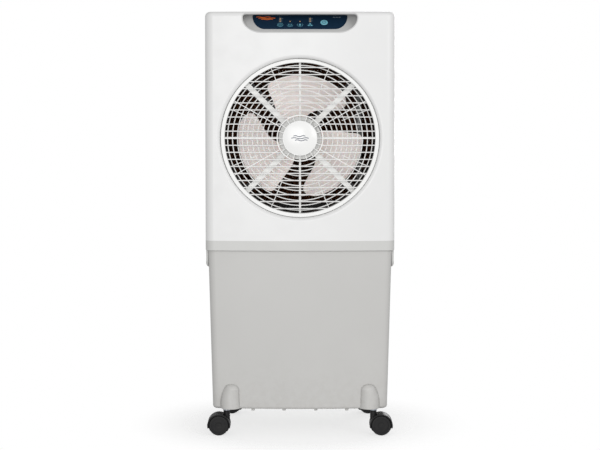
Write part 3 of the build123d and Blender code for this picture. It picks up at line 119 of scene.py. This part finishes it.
# %% World
world = bpy.data.worlds.new("studio")
bpy.context.scene.world = world
world.use_nodes = True
world_tree = world.node_tree
world_tree.nodes.clear()
seen = world_tree.nodes.new("ShaderNodeBackground")
seen.inputs["Color"].default_value = (1, 1, 1, 1)
seen.inputs["Strength"].default_value = 1.0
cast = world_tree.nodes.new("ShaderNodeBackground")
cast.inputs["Color"].default_value = (1, 1, 1, 1)
cast.inputs["Strength"].default_value = 0.50
ray = world_tree.nodes.new("ShaderNodeLightPath")
mixer = world_tree.nodes.new("ShaderNodeMixShader")
world_end = world_tree.nodes.new("ShaderNodeOutputWorld")
world_tree.links.new(ray.outputs["Is Camera Ray"], mixer.inputs[0])
world_tree.links.new(cast.outputs[0], mixer.inputs[1])
world_tree.links.new(seen.outputs[0], mixer.inputs[2])
world_tree.links.new(mixer.outputs[0], world_end.inputs[0])
bpy.context.scene.view_settings.view_transform = "Standard"


# %% Lamps
def soft_box(name, place, aim, width, height, power):
    """A rectangular lamp at place that shines towards aim."""
    lamp = bpy.data.lights.new(name, "AREA")
    lamp.shape = "RECTANGLE"
    lamp.size = width
    lamp.size_y = height
    lamp.energy = power
    holder = bpy.data.objects.new(name, lamp)
    holder.location = place
    holder.rotation_euler = (Vector(aim) - Vector(place)).to_track_quat("-Z", "Y").to_euler()
    bpy.context.scene.collection.objects.link(holder)
    return holder


body_middle = (cad_low + cad_high) / 2
lamps = {
    "key_lamp": {"place": (2.2, -2.9, 1.7), "width": 1.8, "height": 2.0, "power": 32},
    "front_lamp": {"place": (-0.5, -3.6, 1.0), "width": 2.0, "height": 2.0, "power": 44},
    "back_lamp": {"place": (1.2, 3.0, 1.3), "width": 2.4, "height": 1.8, "power": 40},
}
for lamp_name, settings in lamps.items():
    soft_box(lamp_name, aim=body_middle, **settings)
print("lamps", len(lamps))

# %% [markdown]
# ## Writing shader sums
# A finish is worked out from noise and position. Wired by hand that is dozens of lines of boxes and cables, so
# one small class lets a socket take part in ordinary sums: each operator adds the Math node that it stands for.


# %% Sockets in sums
class Wire:
    """An output socket of a finish that can be added, multiplied and compared."""

    def __init__(self, finish, socket):
        self.finish = finish
        self.socket = socket

    def _sum(self, operation, first, second=0.0):
        return self.finish.node("ShaderNodeMath", {"operation": operation}, [first, second])

    def __add__(self, other):
        return self._sum("ADD", self, other)

    def __sub__(self, other):
        return self._sum("SUBTRACT", self, other)

    def __rsub__(self, other):
        return self._sum("SUBTRACT", other, self)

    def __mul__(self, other):
        return self._sum("MULTIPLY", self, other)

    def __truediv__(self, other):
        return self._sum("DIVIDE", self, other)

    def __gt__(self, other):
        return self._sum("GREATER_THAN", self, other)

    def __lt__(self, other):
        return self._sum("LESS_THAN", self, other)

    __radd__ = __add__
    __rmul__ = __mul__


class Finish:
    """A material with a Principled shader, and the nodes that feed it."""

    def __init__(self, name, **sockets):
        self.material = bpy.data.materials.new(name)
        self.material.use_nodes = True
        self.tree = self.material.node_tree
        self.shader = self.tree.nodes["Principled BSDF"]
        self.feed(**sockets)

    def node(self, kind, settings=None, values=(), output=0):
        """Adds a node: its settings first, then the values or links of its sockets."""
        made = self.tree.nodes.new(kind)
        for key, value in (settings or {}).items():
            if key == "stops":
                for stop, (position, colour) in zip(made.color_ramp.elements, value):
                    stop.position = position
                    stop.color = colour
            else:
                setattr(made, key, value)
        pairs = values.items() if isinstance(values, dict) else enumerate(values)
        for key, value in pairs:
            self.join(value, made.inputs[key])
        return Wire(self, made.outputs[output])

    def join(self, value, socket):
        """Links a wire to a socket, or writes a plain value on it."""
        if isinstance(value, Wire):
            self.tree.links.new(value.socket, socket)
        else:
            socket.default_value = value

    def feed(self, **sockets):
        """Sets sockets of the shader, as in feed(Roughness=0.4, Base_Color=wire)."""
        for name, value in sockets.items():
            self.join(value, self.shader.inputs[name.replace("_", " ")])

    def place(self):
        """The point on the object, in metres in the cooler's frame."""
        return self.node("ShaderNodeTexCoord", output=3)

    def axes(self):
        """The point's x, y and z."""
        split = self.node("ShaderNodeSeparateXYZ", {}, [self.place()])
        outputs = split.socket.node.outputs
        return [Wire(self, outputs[index]) for index in range(3)]

    def noise(self, scale, detail=2.0, roughness=0.5):
        """Cloudy noise from 0 to 1 with features of about 1/scale metres."""
        values = {"Vector": self.place(), "Scale": scale, "Detail": detail, "Roughness": roughness}
        return self.node("ShaderNodeTexNoise", {}, values)

    def mix(self, factor, first, second):
        """A colour between two colours."""
        return self.node("ShaderNodeMix", {"data_type": "RGBA"}, {0: factor, 6: first, 7: second}, output=2)

    def ramp(self, value, low, high):
        """Runs smoothly from 0 where value is low to 1 where it is high."""
        settings = {"interpolation_type": "SMOOTHSTEP"}
        return self.node("ShaderNodeMapRange", settings, {"Value": value, 1: low, 2: high, 3: 0.0, 4: 1.0})

    def relief(self, height, depth):
        """Feeds the shader's normal from a height, where depth is in metres."""
        self.feed(Normal=self.node("ShaderNodeBump", {}, {"Height": height, "Distance": depth, "Strength": 1.0}))


def shade(colour, factor):
    """A colour made lighter or darker, ready for a socket."""
    return (*[min(1.0, channel * factor) for channel in colour], 1.0)


finishes = {}


def wear(finish, *names):
    """Gives a finish to CAD nodes and remembers which nodes have one."""
    for name in names:
        data = nodes[name].data
        data.materials.clear()
        data.materials.append(finish.material)
        finishes[name] = finish.material.name


# %% [markdown]
# ## Moulded plastic
# Most of the cooler is injection-moulded. Up close such a skin is never flat: the tool leaves a fine grain, the
# colour drifts slightly over a large wall, and handling leaves duller patches. One function makes all the
# moulded finishes, and each call says how coarse the grain is and how glossy the skin.


# %% Moulded plastic
def moulded(name, colour, roughness, grain=900.0, grain_depth=0.00003, drift=0.035, dust=0.0, coat=0.0):
    """Plastic with a tool grain, a slow drift of colour, duller patches and dust near the floor."""
    finish = Finish(name, Coat_Weight=coat, Coat_Roughness=0.15, IOR=1.5)
    cloud = finish.noise(5.0, 3.0, 0.55)
    tone = finish.mix(cloud, shade(colour, 1.0 - drift), shade(colour, 1.0 + drift))
    speck = finish.ramp(finish.noise(420.0, 2.0), 0.62, 0.75)
    tone = finish.mix(speck * 0.10, tone, shade(colour, 0.80))
    patches = finish.ramp(finish.noise(22.0, 3.0, 0.6), 0.35, 0.75)
    rough = patches * 0.10 + (roughness - 0.04)
    if dust:
        height = finish.axes()[2]
        low = 1.0 - finish.ramp(height, 0.0, 0.22)
        film = low * finish.ramp(finish.noise(60.0, 4.0, 0.7), 0.3, 0.8)
        tone = finish.mix(film * dust, tone, (0.30, 0.27, 0.23, 1.0))
        rough = rough + film * 0.15
    finish.feed(Base_Color=tone, Roughness=rough)
    finish.relief(finish.noise(grain, 2.0, 0.6), grain_depth)
    return finish


white_shell = moulded("white_shell", (0.80, 0.80, 0.797), 0.34, grain=700.0, grain_depth=0.00002, drift=0.012)
wear(white_shell, "front_panel", "top_cover", "left_side_panel", "right_side_panel", "rear_panel")
wear(moulded("cap_white", (0.90, 0.90, 0.89), 0.22, drift=0.01, grain_depth=0.00001), "hub_cap")
wear(moulded("collar_grey", (0.615, 0.615, 0.60), 0.42, dust=0.1), "deck")
tank_grey = moulded("tank_grey", (0.575, 0.57, 0.555), 0.40, grain=1100.0, grain_depth=0.00005, dust=0.25)
wear(tank_grey, "water_tank", "fill_door")
wear(moulded("bezel_grey", (0.58, 0.58, 0.575), 0.42), "control_bezel")
wear(moulded("louvre_grey", (0.86, 0.86, 0.85), 0.34, drift=0.02), "louvre_wheel")
wear(moulded("guard_grey", (0.80, 0.80, 0.785), 0.36, drift=0.02), "guard_grille")
wear(moulded("intake_grey", (0.58, 0.58, 0.57), 0.44), "intake_grille")
black_plastic = moulded("black_plastic", (0.022, 0.021, 0.020), 0.55, grain_depth=0.00005, drift=0.15)
wear(black_plastic, "air_duct", "pad_frame", "control_box", "cord_gland", "water_pump", "pump_strainer",
     "water_distributor", "louvre_motor")
castor_black = moulded("castor_black", (0.007, 0.007, 0.008), 0.40, grain_depth=0.00004, drift=0.1, dust=0.03)
castor_black.feed(Specular_IOR_Level=0.3)
corners = ("front_left", "front_right", "rear_left", "rear_right")
for corner in corners:
    for piece in ("hood", "wheel_a", "wheel_b"):
        wear(castor_black, f"{corner}_castor_{piece}")
wear(moulded("rod_white", (0.72, 0.72, 0.71), 0.4), "float_rod")
wear(moulded("float_orange", (0.72, 0.22, 0.05), 0.35), "tank_float")
wear(moulded("plug_rubber", (0.035, 0.035, 0.035), 0.75, grain_depth=0.0001), "drain_plug")
print("moulded finishes", len(set(finishes.values())))

# %% [markdown]
# ## Fan blades
# The blades are a slightly pink, milky plastic. Light that falls on them from the pad side comes through, which
# a faint glow of their own stands for, because following it through the pad would cost far too many rays. Air
# has left a duller, dustier band along their outer parts, which shows more in the gloss than in the colour.

# %% Fan blades
blade_pink = Finish("blade_pink", Subsurface_Weight=0.15, Subsurface_Scale=0.004, IOR=1.49)
blade_pink.feed(Emission_Color=(0.88, 0.77, 0.73, 1.0), Emission_Strength=0.20)
blade_x, _, blade_z = blade_pink.axes()
rise = blade_z - fan_centre.z
radius = blade_pink.node("ShaderNodeMath", {"operation": "SQRT"}, [blade_x * blade_x + rise * rise])
outer = blade_pink.ramp(radius, 0.05, 0.15)
film = outer * blade_pink.ramp(blade_pink.noise(45.0, 4.0, 0.65), 0.3, 0.75)
milk = blade_pink.mix(blade_pink.noise(8.0), (0.86, 0.79, 0.77, 1.0), (0.92, 0.86, 0.84, 1.0))
blade_pink.feed(Base_Color=blade_pink.mix(film * 0.12, milk, (0.60, 0.52, 0.50, 1.0)))
blade_pink.feed(Roughness=film * 0.2 + 0.32)
blade_pink.relief(blade_pink.noise(600.0), 0.00002)
wear(blade_pink, "fan_blades", "blade_nut")

# %% [markdown]
# ## Metals
# The castor stems and screws are zinc-plated: bright, faintly blue, and mottled by the plating. The shafts are
# turned steel and here wear the same plating. The motor's shell is cast aluminium, rough as a beach pebble.


# %% Metals
def plated(name, colour, roughness):
    """Zinc plating: mottled in tone and gloss."""
    finish = Finish(name, Metallic=1.0)
    spangle = finish.node("ShaderNodeTexVoronoi", {}, {"Vector": finish.place(), "Scale": 320.0}, output=1)
    blur = finish.noise(180.0, 3.0)
    tone = finish.mix(blur, shade(colour, 0.82), shade(colour, 1.1))
    finish.feed(Base_Color=finish.mix(0.08, tone, spangle), Roughness=blur * 0.2 + roughness)
    finish.relief(finish.noise(1500.0), 0.00001)
    return finish


bright_steel = plated("bright_steel", (0.62, 0.66, 0.72), 0.18)
wear(bright_steel, "fan_shaft", "louvre_shaft", "castor_stems", "duct_screws",
     "fill_door_pin", *[f"{corner}_castor_axle" for corner in corners])

cast_metal = Finish("cast_metal", Metallic=0.9)
skin = cast_metal.noise(700.0, 4.0, 0.7)
cast_metal.feed(Base_Color=cast_metal.mix(skin, (0.36, 0.37, 0.38, 1.0), (0.58, 0.59, 0.60, 1.0)))
cast_metal.feed(Roughness=skin * 0.25 + 0.38)
cast_metal.relief(skin, 0.00012)
wear(cast_metal, "fan_motor")

painted = moulded("bracket_paint", (0.05, 0.05, 0.055), 0.45, grain=260.0, grain_depth=0.00008)
wear(painted, "motor_bracket")

# %% [markdown]
# ## Control panel
# The navy panel is a printed film over the bezel. The keys are domes under the same film, and their signs and
# the small scale marks are printed in pale blue. The film is glossier than the moulding around it.

# %% Panel film, keys and board
navy_film = Finish("navy_overlay", IOR=1.5, Specular_IOR_Level=0.12)
drift = navy_film.noise(30.0, 2.0)
navy_film.feed(Base_Color=navy_film.mix(drift, (0.0058, 0.022, 0.050, 1.0), (0.0078, 0.028, 0.060, 1.0)))
navy_film.feed(Roughness=navy_film.noise(300.0) * 0.1 + 0.42)
navy_film.relief(navy_film.noise(1800.0), 0.00001)
wear(navy_film, "control_overlay")

key_film = Finish("key_film", IOR=1.5, Specular_IOR_Level=0.12)
key_tone = key_film.mix(key_film.noise(90.0), (0.010, 0.036, 0.072, 1.0), (0.014, 0.048, 0.09, 1.0))
key_film.feed(Base_Color=key_tone)
key_film.feed(Roughness=key_film.noise(300.0) * 0.1 + 0.40)
wear(key_film, "speed_key", "swing_key", "cool_key", "timer_key")

power_film = Finish("power_film", IOR=1.5, Coat_Weight=0.5, Coat_Roughness=0.12)
power_tone = power_film.mix(power_film.noise(90.0), (0.17, 0.50, 0.62, 1.0), (0.24, 0.60, 0.70, 1.0))
power_film.feed(Base_Color=power_tone, Roughness=power_film.noise(300.0) * 0.1 + 0.3)
wear(power_film, "power_key")

lens = Finish("light_lens", IOR=1.5, Emission_Color=(0.9, 0.45, 0.15, 1.0), Emission_Strength=0.25)
lens.feed(Base_Color=lens.mix(lens.noise(900.0), (0.70, 0.42, 0.20, 1.0), (0.85, 0.60, 0.35, 1.0)))
lens.feed(Roughness=lens.noise(400.0) * 0.1 + 0.2)
wear(lens, "indicator_lights")

board = Finish("board_green", IOR=1.5)
cells = {"Vector": board.place(), "Scale": 300}
tracks = board.node("ShaderNodeTexVoronoi", {"feature": "DISTANCE_TO_EDGE"}, cells)
track_width = 0.06
board.feed(Base_Color=board.mix(tracks < track_width, (0.015, 0.13, 0.05, 1.0), (0.05, 0.30, 0.12, 1.0)))
board.feed(Roughness=board.noise(200.0) * 0.1 + 0.3)
board.relief(tracks < track_width, 0.00003)
wear(board, "control_board")

# %% Hose
hose = Finish("hose_vinyl", Transmission_Weight=0.55, IOR=1.45)
hose.feed(Base_Color=hose.mix(hose.noise(30.0), (0.70, 0.73, 0.73, 1.0), (0.80, 0.82, 0.82, 1.0)))
hose.feed(Roughness=hose.noise(120.0) * 0.15 + 0.18)
hose.relief(hose.noise(250.0), 0.00004)
wear(hose, "supply_hose")

# %% [markdown]
# ## Mesh helpers
# A piece is made as a plain list of points and faces, or in a BMesh, then turned into an object that rides on
# one of the frame's bodies and wears a finish.


# %% Mesh helpers
def make_piece(name, points, faces, finish, body, smooth=False):
    """An object from points and faces that rides on a body."""
    mesh = bpy.data.meshes.new(name)
    mesh.from_pydata(points, [], faces)
    mesh.validate()
    work = bmesh.new()
    work.from_mesh(mesh)
    bmesh.ops.recalc_face_normals(work, faces=work.faces)
    work.to_mesh(mesh)
    work.free()
    for face in mesh.polygons:
        face.use_smooth = smooth
    mesh.materials.append(finish.material)
    piece = bpy.data.objects.new(name, mesh)
    bpy.context.scene.collection.objects.link(piece)
    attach(piece, body)
    return piece


# %% [markdown]
# ## The wet pad
# The pad is a block of corrugated cellulose sheets. Each sheet's waves run at a slant and its neighbour's slant
# the other way, so water and air cross at every touch. A picture on a box can't show that depth, so each sheet
# is a real wavy mesh, one wave deep, with a second skin behind the first that gives the paper its thickness.

# %% The wet pad
pad_low, pad_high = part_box("cooling_pad")
sheet_pitch = 0.0091
wave_length = 0.017
slant = radians(45)
paper = 0.0005
across = 9
steps_per_wave = 6
pad_height = pad_high.z - pad_low.z
pad_inset = 0.002


def wavy_sheet(x, way, points, faces):
    """Adds one closed wavy sheet about the plane at x, with waves that slant one way."""
    rows = int(pad_height / wave_length * steps_per_wave * 0.72)
    start = len(points)
    swing = sheet_pitch / 2 + paper / 2
    for offset in (-paper / 2, paper / 2):
        for row in range(rows + 1):
            z = pad_low.z + pad_inset + (pad_height - 2 * pad_inset) * row / rows
            for step in range(across):
                y = pad_low.y + pad_inset + (pad_high.y - pad_low.y - 2 * pad_inset) * step / (across - 1)
                phase = 2 * pi * (z * cos(slant) + way * y * sin(slant)) / wave_length
                points.append((x + swing * sin(phase) + offset, y, z))
    back = (rows + 1) * across
    for row in range(rows):
        for step in range(across - 1):
            a = start + row * across + step
            faces.append((a, a + 1, a + across + 1, a + across))
            faces.append((a + back, a + back + across, a + back + across + 1, a + back + 1))
        for step in (0, across - 1):
            a = start + row * across + step
            faces.append((a, a + across, a + across + back, a + back))
    for row in (0, rows):
        for step in range(across - 1):
            a = start + row * across + step
            faces.append((a, a + 1, a + 1 + back, a + back))


pad_points, pad_faces = [], []
sheets = int((pad_high.x - pad_low.x) / sheet_pitch)
for number in range(sheets):
    sheet_x = (number - (sheets - 1) / 2) * sheet_pitch
    wavy_sheet(sheet_x, 1 if number % 2 else -1, pad_points, pad_faces)
print("pad sheets", sheets, "faces", len(pad_faces))

# %% Pad finish
cellulose = Finish("pad_cellulose", IOR=1.4)
fibre = cellulose.noise(900.0, 4.0, 0.7)
damp = cellulose.ramp(cellulose.noise(9.0, 3.0), 0.35, 0.7)
pulp = cellulose.mix(fibre, (0.13, 0.045, 0.02, 1.0), (0.33, 0.125, 0.055, 1.0))
cellulose.feed(Base_Color=cellulose.mix(damp * 0.5, pulp, (0.07, 0.025, 0.012, 1.0)))
cellulose.feed(Roughness=0.95 - damp * 0.25)
cellulose.relief(fibre, 0.0001)
pad = make_piece("corrugated_pad", pad_points, pad_faces, cellulose, "cooler", smooth=True)
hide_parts("cooling_pad")

# %% [markdown]
# ## The dust filter
# Behind the rear louvres a coarse black net keeps lint off the pad. It is woven: each strand passes over one
# crossing and under the next. A net of real strands lets light through as the real one does.

# %% The dust filter
net_low, net_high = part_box("dust_filter")
mesh_pitch = 0.0045
strand = 0.0009
net_y = (net_low.y + net_high.y) / 2


def strand_tube(route, width, points, faces):
    """Adds a closed four-sided tube along a route in the net's plane."""
    first = len(points)
    for index, (x, y, z) in enumerate(route):
        before = Vector(route[max(index - 1, 0)])
        after = Vector(route[min(index + 1, len(route) - 1)])
        along = (after - before).normalized()
        side = along.cross(Vector((0, 1, 0))).normalized() * width / 2
        for corner in (side, Vector((0, width / 2, 0)), -side, Vector((0, -width / 2, 0))):
            points.append(Vector((x, y, z)) + corner)
    for index in range(len(route) - 1):
        for corner in range(4):
            a = first + index * 4 + corner
            b = first + index * 4 + (corner + 1) % 4
            faces.append((a, b, b + 4, a + 4))
    faces.append(tuple(first + corner for corner in range(4)))
    last = first + (len(route) - 1) * 4
    faces.append(tuple(last + corner for corner in range(4)))


border = 0.008
net_points, net_faces = [], []
columns = int((net_high.x - net_low.x - 2 * border) / mesh_pitch)
rows = int((net_high.z - net_low.z - 2 * border) / mesh_pitch)
left = -(columns - 1) / 2 * mesh_pitch
foot = (net_low.z + net_high.z) / 2 - (rows - 1) / 2 * mesh_pitch
for column in range(columns):
    x = left + column * mesh_pitch
    route = []
    for row in range(-1, rows + 1):
        lift = strand / 2 * (1 if (column + row) % 2 else -1)
        route.append((x, net_y + lift, foot + row * mesh_pitch))
    strand_tube(route, strand, net_points, net_faces)
for row in range(rows):
    z = foot + row * mesh_pitch
    route = []
    for column in range(-1, columns + 1):
        lift = strand / 2 * (-1 if (column + row) % 2 else 1)
        route.append((left + column * mesh_pitch, net_y + lift, z))
    strand_tube(route, strand, net_points, net_faces)
print("net strands", columns + rows, "faces", len(net_faces))


# %% Filter frame
def frame_strip(points, faces):
    """Adds the flat welded border round the net."""
    first = len(points)
    for y in (net_low.y, net_high.y):
        for inset in (0.0, border):
            for x, z in ((net_low.x + inset, net_low.z + inset), (net_high.x - inset, net_low.z + inset),
                         (net_high.x - inset, net_high.z - inset), (net_low.x + inset, net_high.z - inset)):
                points.append((x, y, z))
    for corner in range(4):
        after = (corner + 1) % 4
        outer, inner = first + corner, first + 4 + corner
        outer_next, inner_next = first + after, first + 4 + after
        faces.append((outer, outer_next, inner_next, inner))
        faces.append((outer + 8, inner + 8, inner_next + 8, outer_next + 8))
        faces.append((outer, outer + 8, outer_next + 8, outer_next))
        faces.append((inner, inner_next, inner_next + 8, inner + 8))


frame_strip(net_points, net_faces)
net_black = moulded("net_black", (0.03, 0.03, 0.032), 0.5, grain_depth=0.00002)
net = make_piece("dust_net", net_points, net_faces, net_black, "intake_grille")
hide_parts("dust_filter")

# %% [markdown]
# ## Printed signs
# The signs are ink, a few hundredths of a millimetre thick. Each is drawn in a flat sketch of strokes and filled
# shapes, then laid on its surface by a function that turns a flat point and a height into a place: a plane for
# the keys and the panel film, a dome for the hub cap.

# %% Ink
ink_height = 0.00008
ink_root = -0.00004


class Sketch:
    """Closed ink shapes, drawn in metres in a flat frame and laid on a surface."""

    def __init__(self, lay):
        self.lay = lay
        self.points = []
        self.faces = []

    def stroke(self, route, width, closed=False):
        """A line of ink of one width."""
        first = len(self.points)
        count = len(route)
        for index in range(count):
            here = Vector(route[index])
            before = Vector(route[index - 1]) if closed or index else here
            after = Vector(route[(index + 1) % count]) if closed or index < count - 1 else here
            along = (after - before).normalized()
            side = Vector((-along.y, along.x)) * width / 2
            for lift in (ink_height, ink_root):
                for point in (here + side, here - side):
                    self.points.append(self.lay(point.x, point.y, lift))
        for index in range(count if closed else count - 1):
            a = first + index * 4
            b = first + (index + 1) % count * 4
            for one, two in ((0, 1), (1, 3), (3, 2), (2, 0)):
                self.faces.append((a + one, a + two, b + two, b + one))
        if not closed:
            for a in (first, first + (count - 1) * 4):
                self.faces.append((a, a + 1, a + 3, a + 2))

    def fill(self, outline):
        """A filled shape: a fan of faces about its middle."""
        first = len(self.points)
        count = len(outline)
        middle = sum((Vector(point) for point in outline), Vector((0, 0))) / count
        for lift in (ink_height, ink_root):
            self.points.append(self.lay(middle.x, middle.y, lift))
            for point in outline:
                self.points.append(self.lay(point[0], point[1], lift))
        under = first + count + 1
        for index in range(count):
            after = (index + 1) % count
            self.faces.append((first, first + 1 + index, first + 1 + after))
            self.faces.append((under, under + 1 + after, under + 1 + index))
            self.faces.append((first + 1 + index, under + 1 + index, under + 1 + after, first + 1 + after))


def arc(radius, start, end, steps, centre=(0.0, 0.0)):
    """Points on an arc; angles in degrees."""
    angles = [radians(start + (end - start) * step / steps) for step in range(steps + 1)]
    return [(centre[0] + radius * cos(a), centre[1] + radius * sin(a)) for a in angles]


def ring(radius, steps=48, centre=(0.0, 0.0)):
    """Points on a whole circle, without repeating the first."""
    return arc(radius, 0, 360, steps, centre)[:-1]


def breeze(left_end, right_end, level, height, waves, steps=36):
    """A wavy line, as the sign for moving air."""
    span = right_end - left_end
    return [(left_end + span * step / steps, level + height * sin(2 * pi * waves * step / steps))
            for step in range(steps + 1)]


# %% Surfaces that carry ink
press = next(joint for joint in frame["joints"] if joint["name"] == "power_key_press")
panel_normal = -Vector(press["axis"]).normalized()
panel_up = panel_normal.cross(Vector((1, 0, 0)))


def flat_top(node):
    """The middle of a node's topmost flat face on the sloping panel."""
    heights = [vertex.co.dot(panel_normal) for vertex in nodes[node].data.vertices]
    top = max(heights)
    near = [vertex.co for vertex, height in zip(nodes[node].data.vertices, heights) if height > top - 0.00005]
    low = Vector([min(point[axis] for point in near) for axis in range(3)])
    high = Vector([max(point[axis] for point in near) for axis in range(3)])
    return (low + high) / 2


def on_panel(origin):
    """Lays flat points on the plane through origin that is parallel to the panel."""
    return lambda u, v, lift: origin + Vector((1, 0, 0)) * u + panel_up * v + panel_normal * lift


cap_low, cap_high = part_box("hub_cap")
cap_radius = (cap_high.x - cap_low.x) / 2
dome_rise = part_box("louvre_wheel")[0].y - cap_low.y
dome_radius = (cap_radius**2 + dome_rise**2) / (2 * dome_rise)


def on_dome(u, v, lift):
    """Lays flat points on the hub cap's dome."""
    depth = dome_radius - sqrt(dome_radius**2 - u * u - v * v)
    return Vector((fan_centre.x + u, cap_low.y + depth - lift, fan_centre.z + v))


# %% Inks
def ink(name, colour):
    """Screen-printing ink: nearly flat in tone, with a faint tooth."""
    finish = Finish(name, IOR=1.5)
    finish.feed(Base_Color=finish.mix(finish.noise(800.0, 3.0), shade(colour, 0.88), shade(colour, 1.08)))
    finish.feed(Roughness=finish.noise(500.0) * 0.15 + 0.35)
    return finish


cyan_ink = ink("cyan_ink", (0.17, 0.47, 0.58))
pale_ink = ink("pale_ink", (0.45, 0.55, 0.60))
orange_ink = ink("orange_ink", (0.95, 0.20, 0.03))
navy_ink = ink("navy_ink", (0.020, 0.035, 0.09))


def sign(name, sketch, finish, body):
    """Turns a sketch into a piece."""
    return make_piece(name, sketch.points, sketch.faces, finish, body)


# %% Key signs
key_edge = 0.0067
line_width = 0.0007


def key_sketch(key):
    """A sketch on a key's top."""
    return Sketch(on_panel(flat_top(key)))


timer_sign = key_sketch("timer_key")
timer_sign.stroke(ring(key_edge), line_width, closed=True)
timer_sign.stroke(ring(0.0036), line_width, closed=True)
timer_sign.stroke([(0, 0.0026), (0, 0), (0.0017, -0.0009)], line_width)
sign("timer_sign", timer_sign, cyan_ink, "timer_key")

swing_sign = key_sketch("swing_key")
swing_sign.stroke(arc(key_edge, 200, 340, 30), line_width)
swing_sign.stroke(arc(0.0040, 210, 330, 20), line_width)
swing_sign.stroke([(-0.0045, 0.0015), (0.0045, 0.0015)], line_width)
for side in (-1, 1):
    swing_sign.stroke([(side * 0.0028, 0.0032), (side * 0.0047, 0.0015), (side * 0.0028, -0.0002)], line_width)
sign("swing_sign", swing_sign, cyan_ink, "swing_key")

cool_sign = key_sketch("cool_key")
cool_sign.stroke(arc(key_edge, 150, 390, 40), line_width)
cool_sign.fill([(0, 0.0052), *arc(0.0026, 20, -200, 22, (0, -0.0004))])
sign("cool_sign", cool_sign, cyan_ink, "cool_key")

speed_sign = key_sketch("speed_key")
for lobe in range(3):
    turn = Matrix.Rotation(radians(90 + 120 * lobe), 2)
    petal = [turn @ Vector((0.0036 + 0.0029 * cos(a), 0.0019 * sin(a))) for a in
             [2 * pi * step / 24 for step in range(24)]]
    speed_sign.fill([tuple(point) for point in petal])
sign("speed_sign", speed_sign, cyan_ink, "speed_key")

power_sign = key_sketch("power_key")
power_sign.stroke(arc(0.0042, 120, 420, 40), 0.0009)
power_sign.stroke([(0, 0.0012), (0, 0.0060)], 0.0009)
sign("power_sign", power_sign, navy_ink, "power_key")

# %% Panel print
film_top = flat_top("control_overlay")
film_height = film_top.dot(panel_normal)


def film_spot(key):
    """The point on the film over a key's middle."""
    point = flat_top(key)
    return point + panel_normal * (film_height - point.dot(panel_normal))


light_level = 0.0134
light_pitch = 0.0055
column_half_left = 0.0024
column_half_right = 0.0020
panel_print = Sketch(on_panel(film_spot("cool_key")))
for key in ("timer_key", "speed_key"):
    column = film_spot(key).x - film_spot("cool_key").x
    for bar in range(3):
        level = light_level + light_pitch * bar
        panel_print.stroke([(column + 0.0026, level), (column + 0.0050 + 0.0008 * bar, level)], 0.0006)
    left_edge = column - column_half_left
    right_edge = column + column_half_right
    outline = [(left_edge, 0.0108), (right_edge, 0.0108), (right_edge, 0.0292), (left_edge, 0.0292)]
    panel_print.stroke(outline, 0.0004, closed=True)
dash_level = 0.029
for dash in range(3):
    start = 0.080 + 0.0068 * dash
    panel_print.stroke([(start, dash_level), (start + 0.0048, dash_level)], 0.0011)
sign("panel_print", panel_print, pale_ink, "cooler")

panel_breeze = Sketch(on_panel(film_spot("cool_key")))
for line, (start, end) in enumerate(((-0.106, -0.072), (-0.101, -0.060), (-0.094, -0.066))):
    panel_breeze.stroke(breeze(start, end, 0.0292 - 0.0042 * line, 0.0010, 1.5), 0.0024)
sign("panel_breeze", panel_breeze, orange_ink, "cooler")

# %% Hub mark
hub_mark = Sketch(on_dome)
for line, (start, end) in enumerate(((-0.016, 0.013), (-0.021, 0.021), (-0.012, 0.018))):
    hub_mark.stroke(breeze(start, end, 0.0050 - 0.0050 * line, 0.0012, 1.5), 0.0017)
sign("hub_mark", hub_mark, navy_ink, "louvre_wheel")

# %% [markdown]
# ## Ground
# The ground is a pale disc that fades out before its edge, so the cooler stands in soft contact shadow with no
# horizon line behind it.

# %% Ground
ground_radius = 1.2
ground_mesh = bpy.data.meshes.new("ground")
builder = bmesh.new()
bmesh.ops.create_circle(builder, cap_ends=True, segments=96, radius=ground_radius)
builder.to_mesh(ground_mesh)
builder.free()
ground = bpy.data.objects.new("ground", ground_mesh)
ground.location.z = -0.0003
bpy.context.scene.collection.objects.link(ground)
pale = Finish("pale_ground", Roughness=0.9)
ground_x, ground_y, _ = pale.axes()
reach = pale.node("ShaderNodeMath", {"operation": "SQRT"}, [ground_x * ground_x + ground_y * ground_y])
ground_cover = 0.30
fade_start = 0.24
fade_end = 0.45
fade = pale.ramp(reach, fade_start, fade_end)
pale.feed(Base_Color=(0.97, 0.97, 0.97, 1.0), Alpha=ground_cover - ground_cover * fade)
ground_mesh.materials.append(pale.material)

# %% [markdown]
# ## Check and finish
# Every carried-over node must have a finish of its own; those that have none are listed.

# %% Check and finish
plain = sorted(set(nodes) - set(finishes) - {"cooling_pad", "dust_filter"})
print("nodes without a finish", plain)
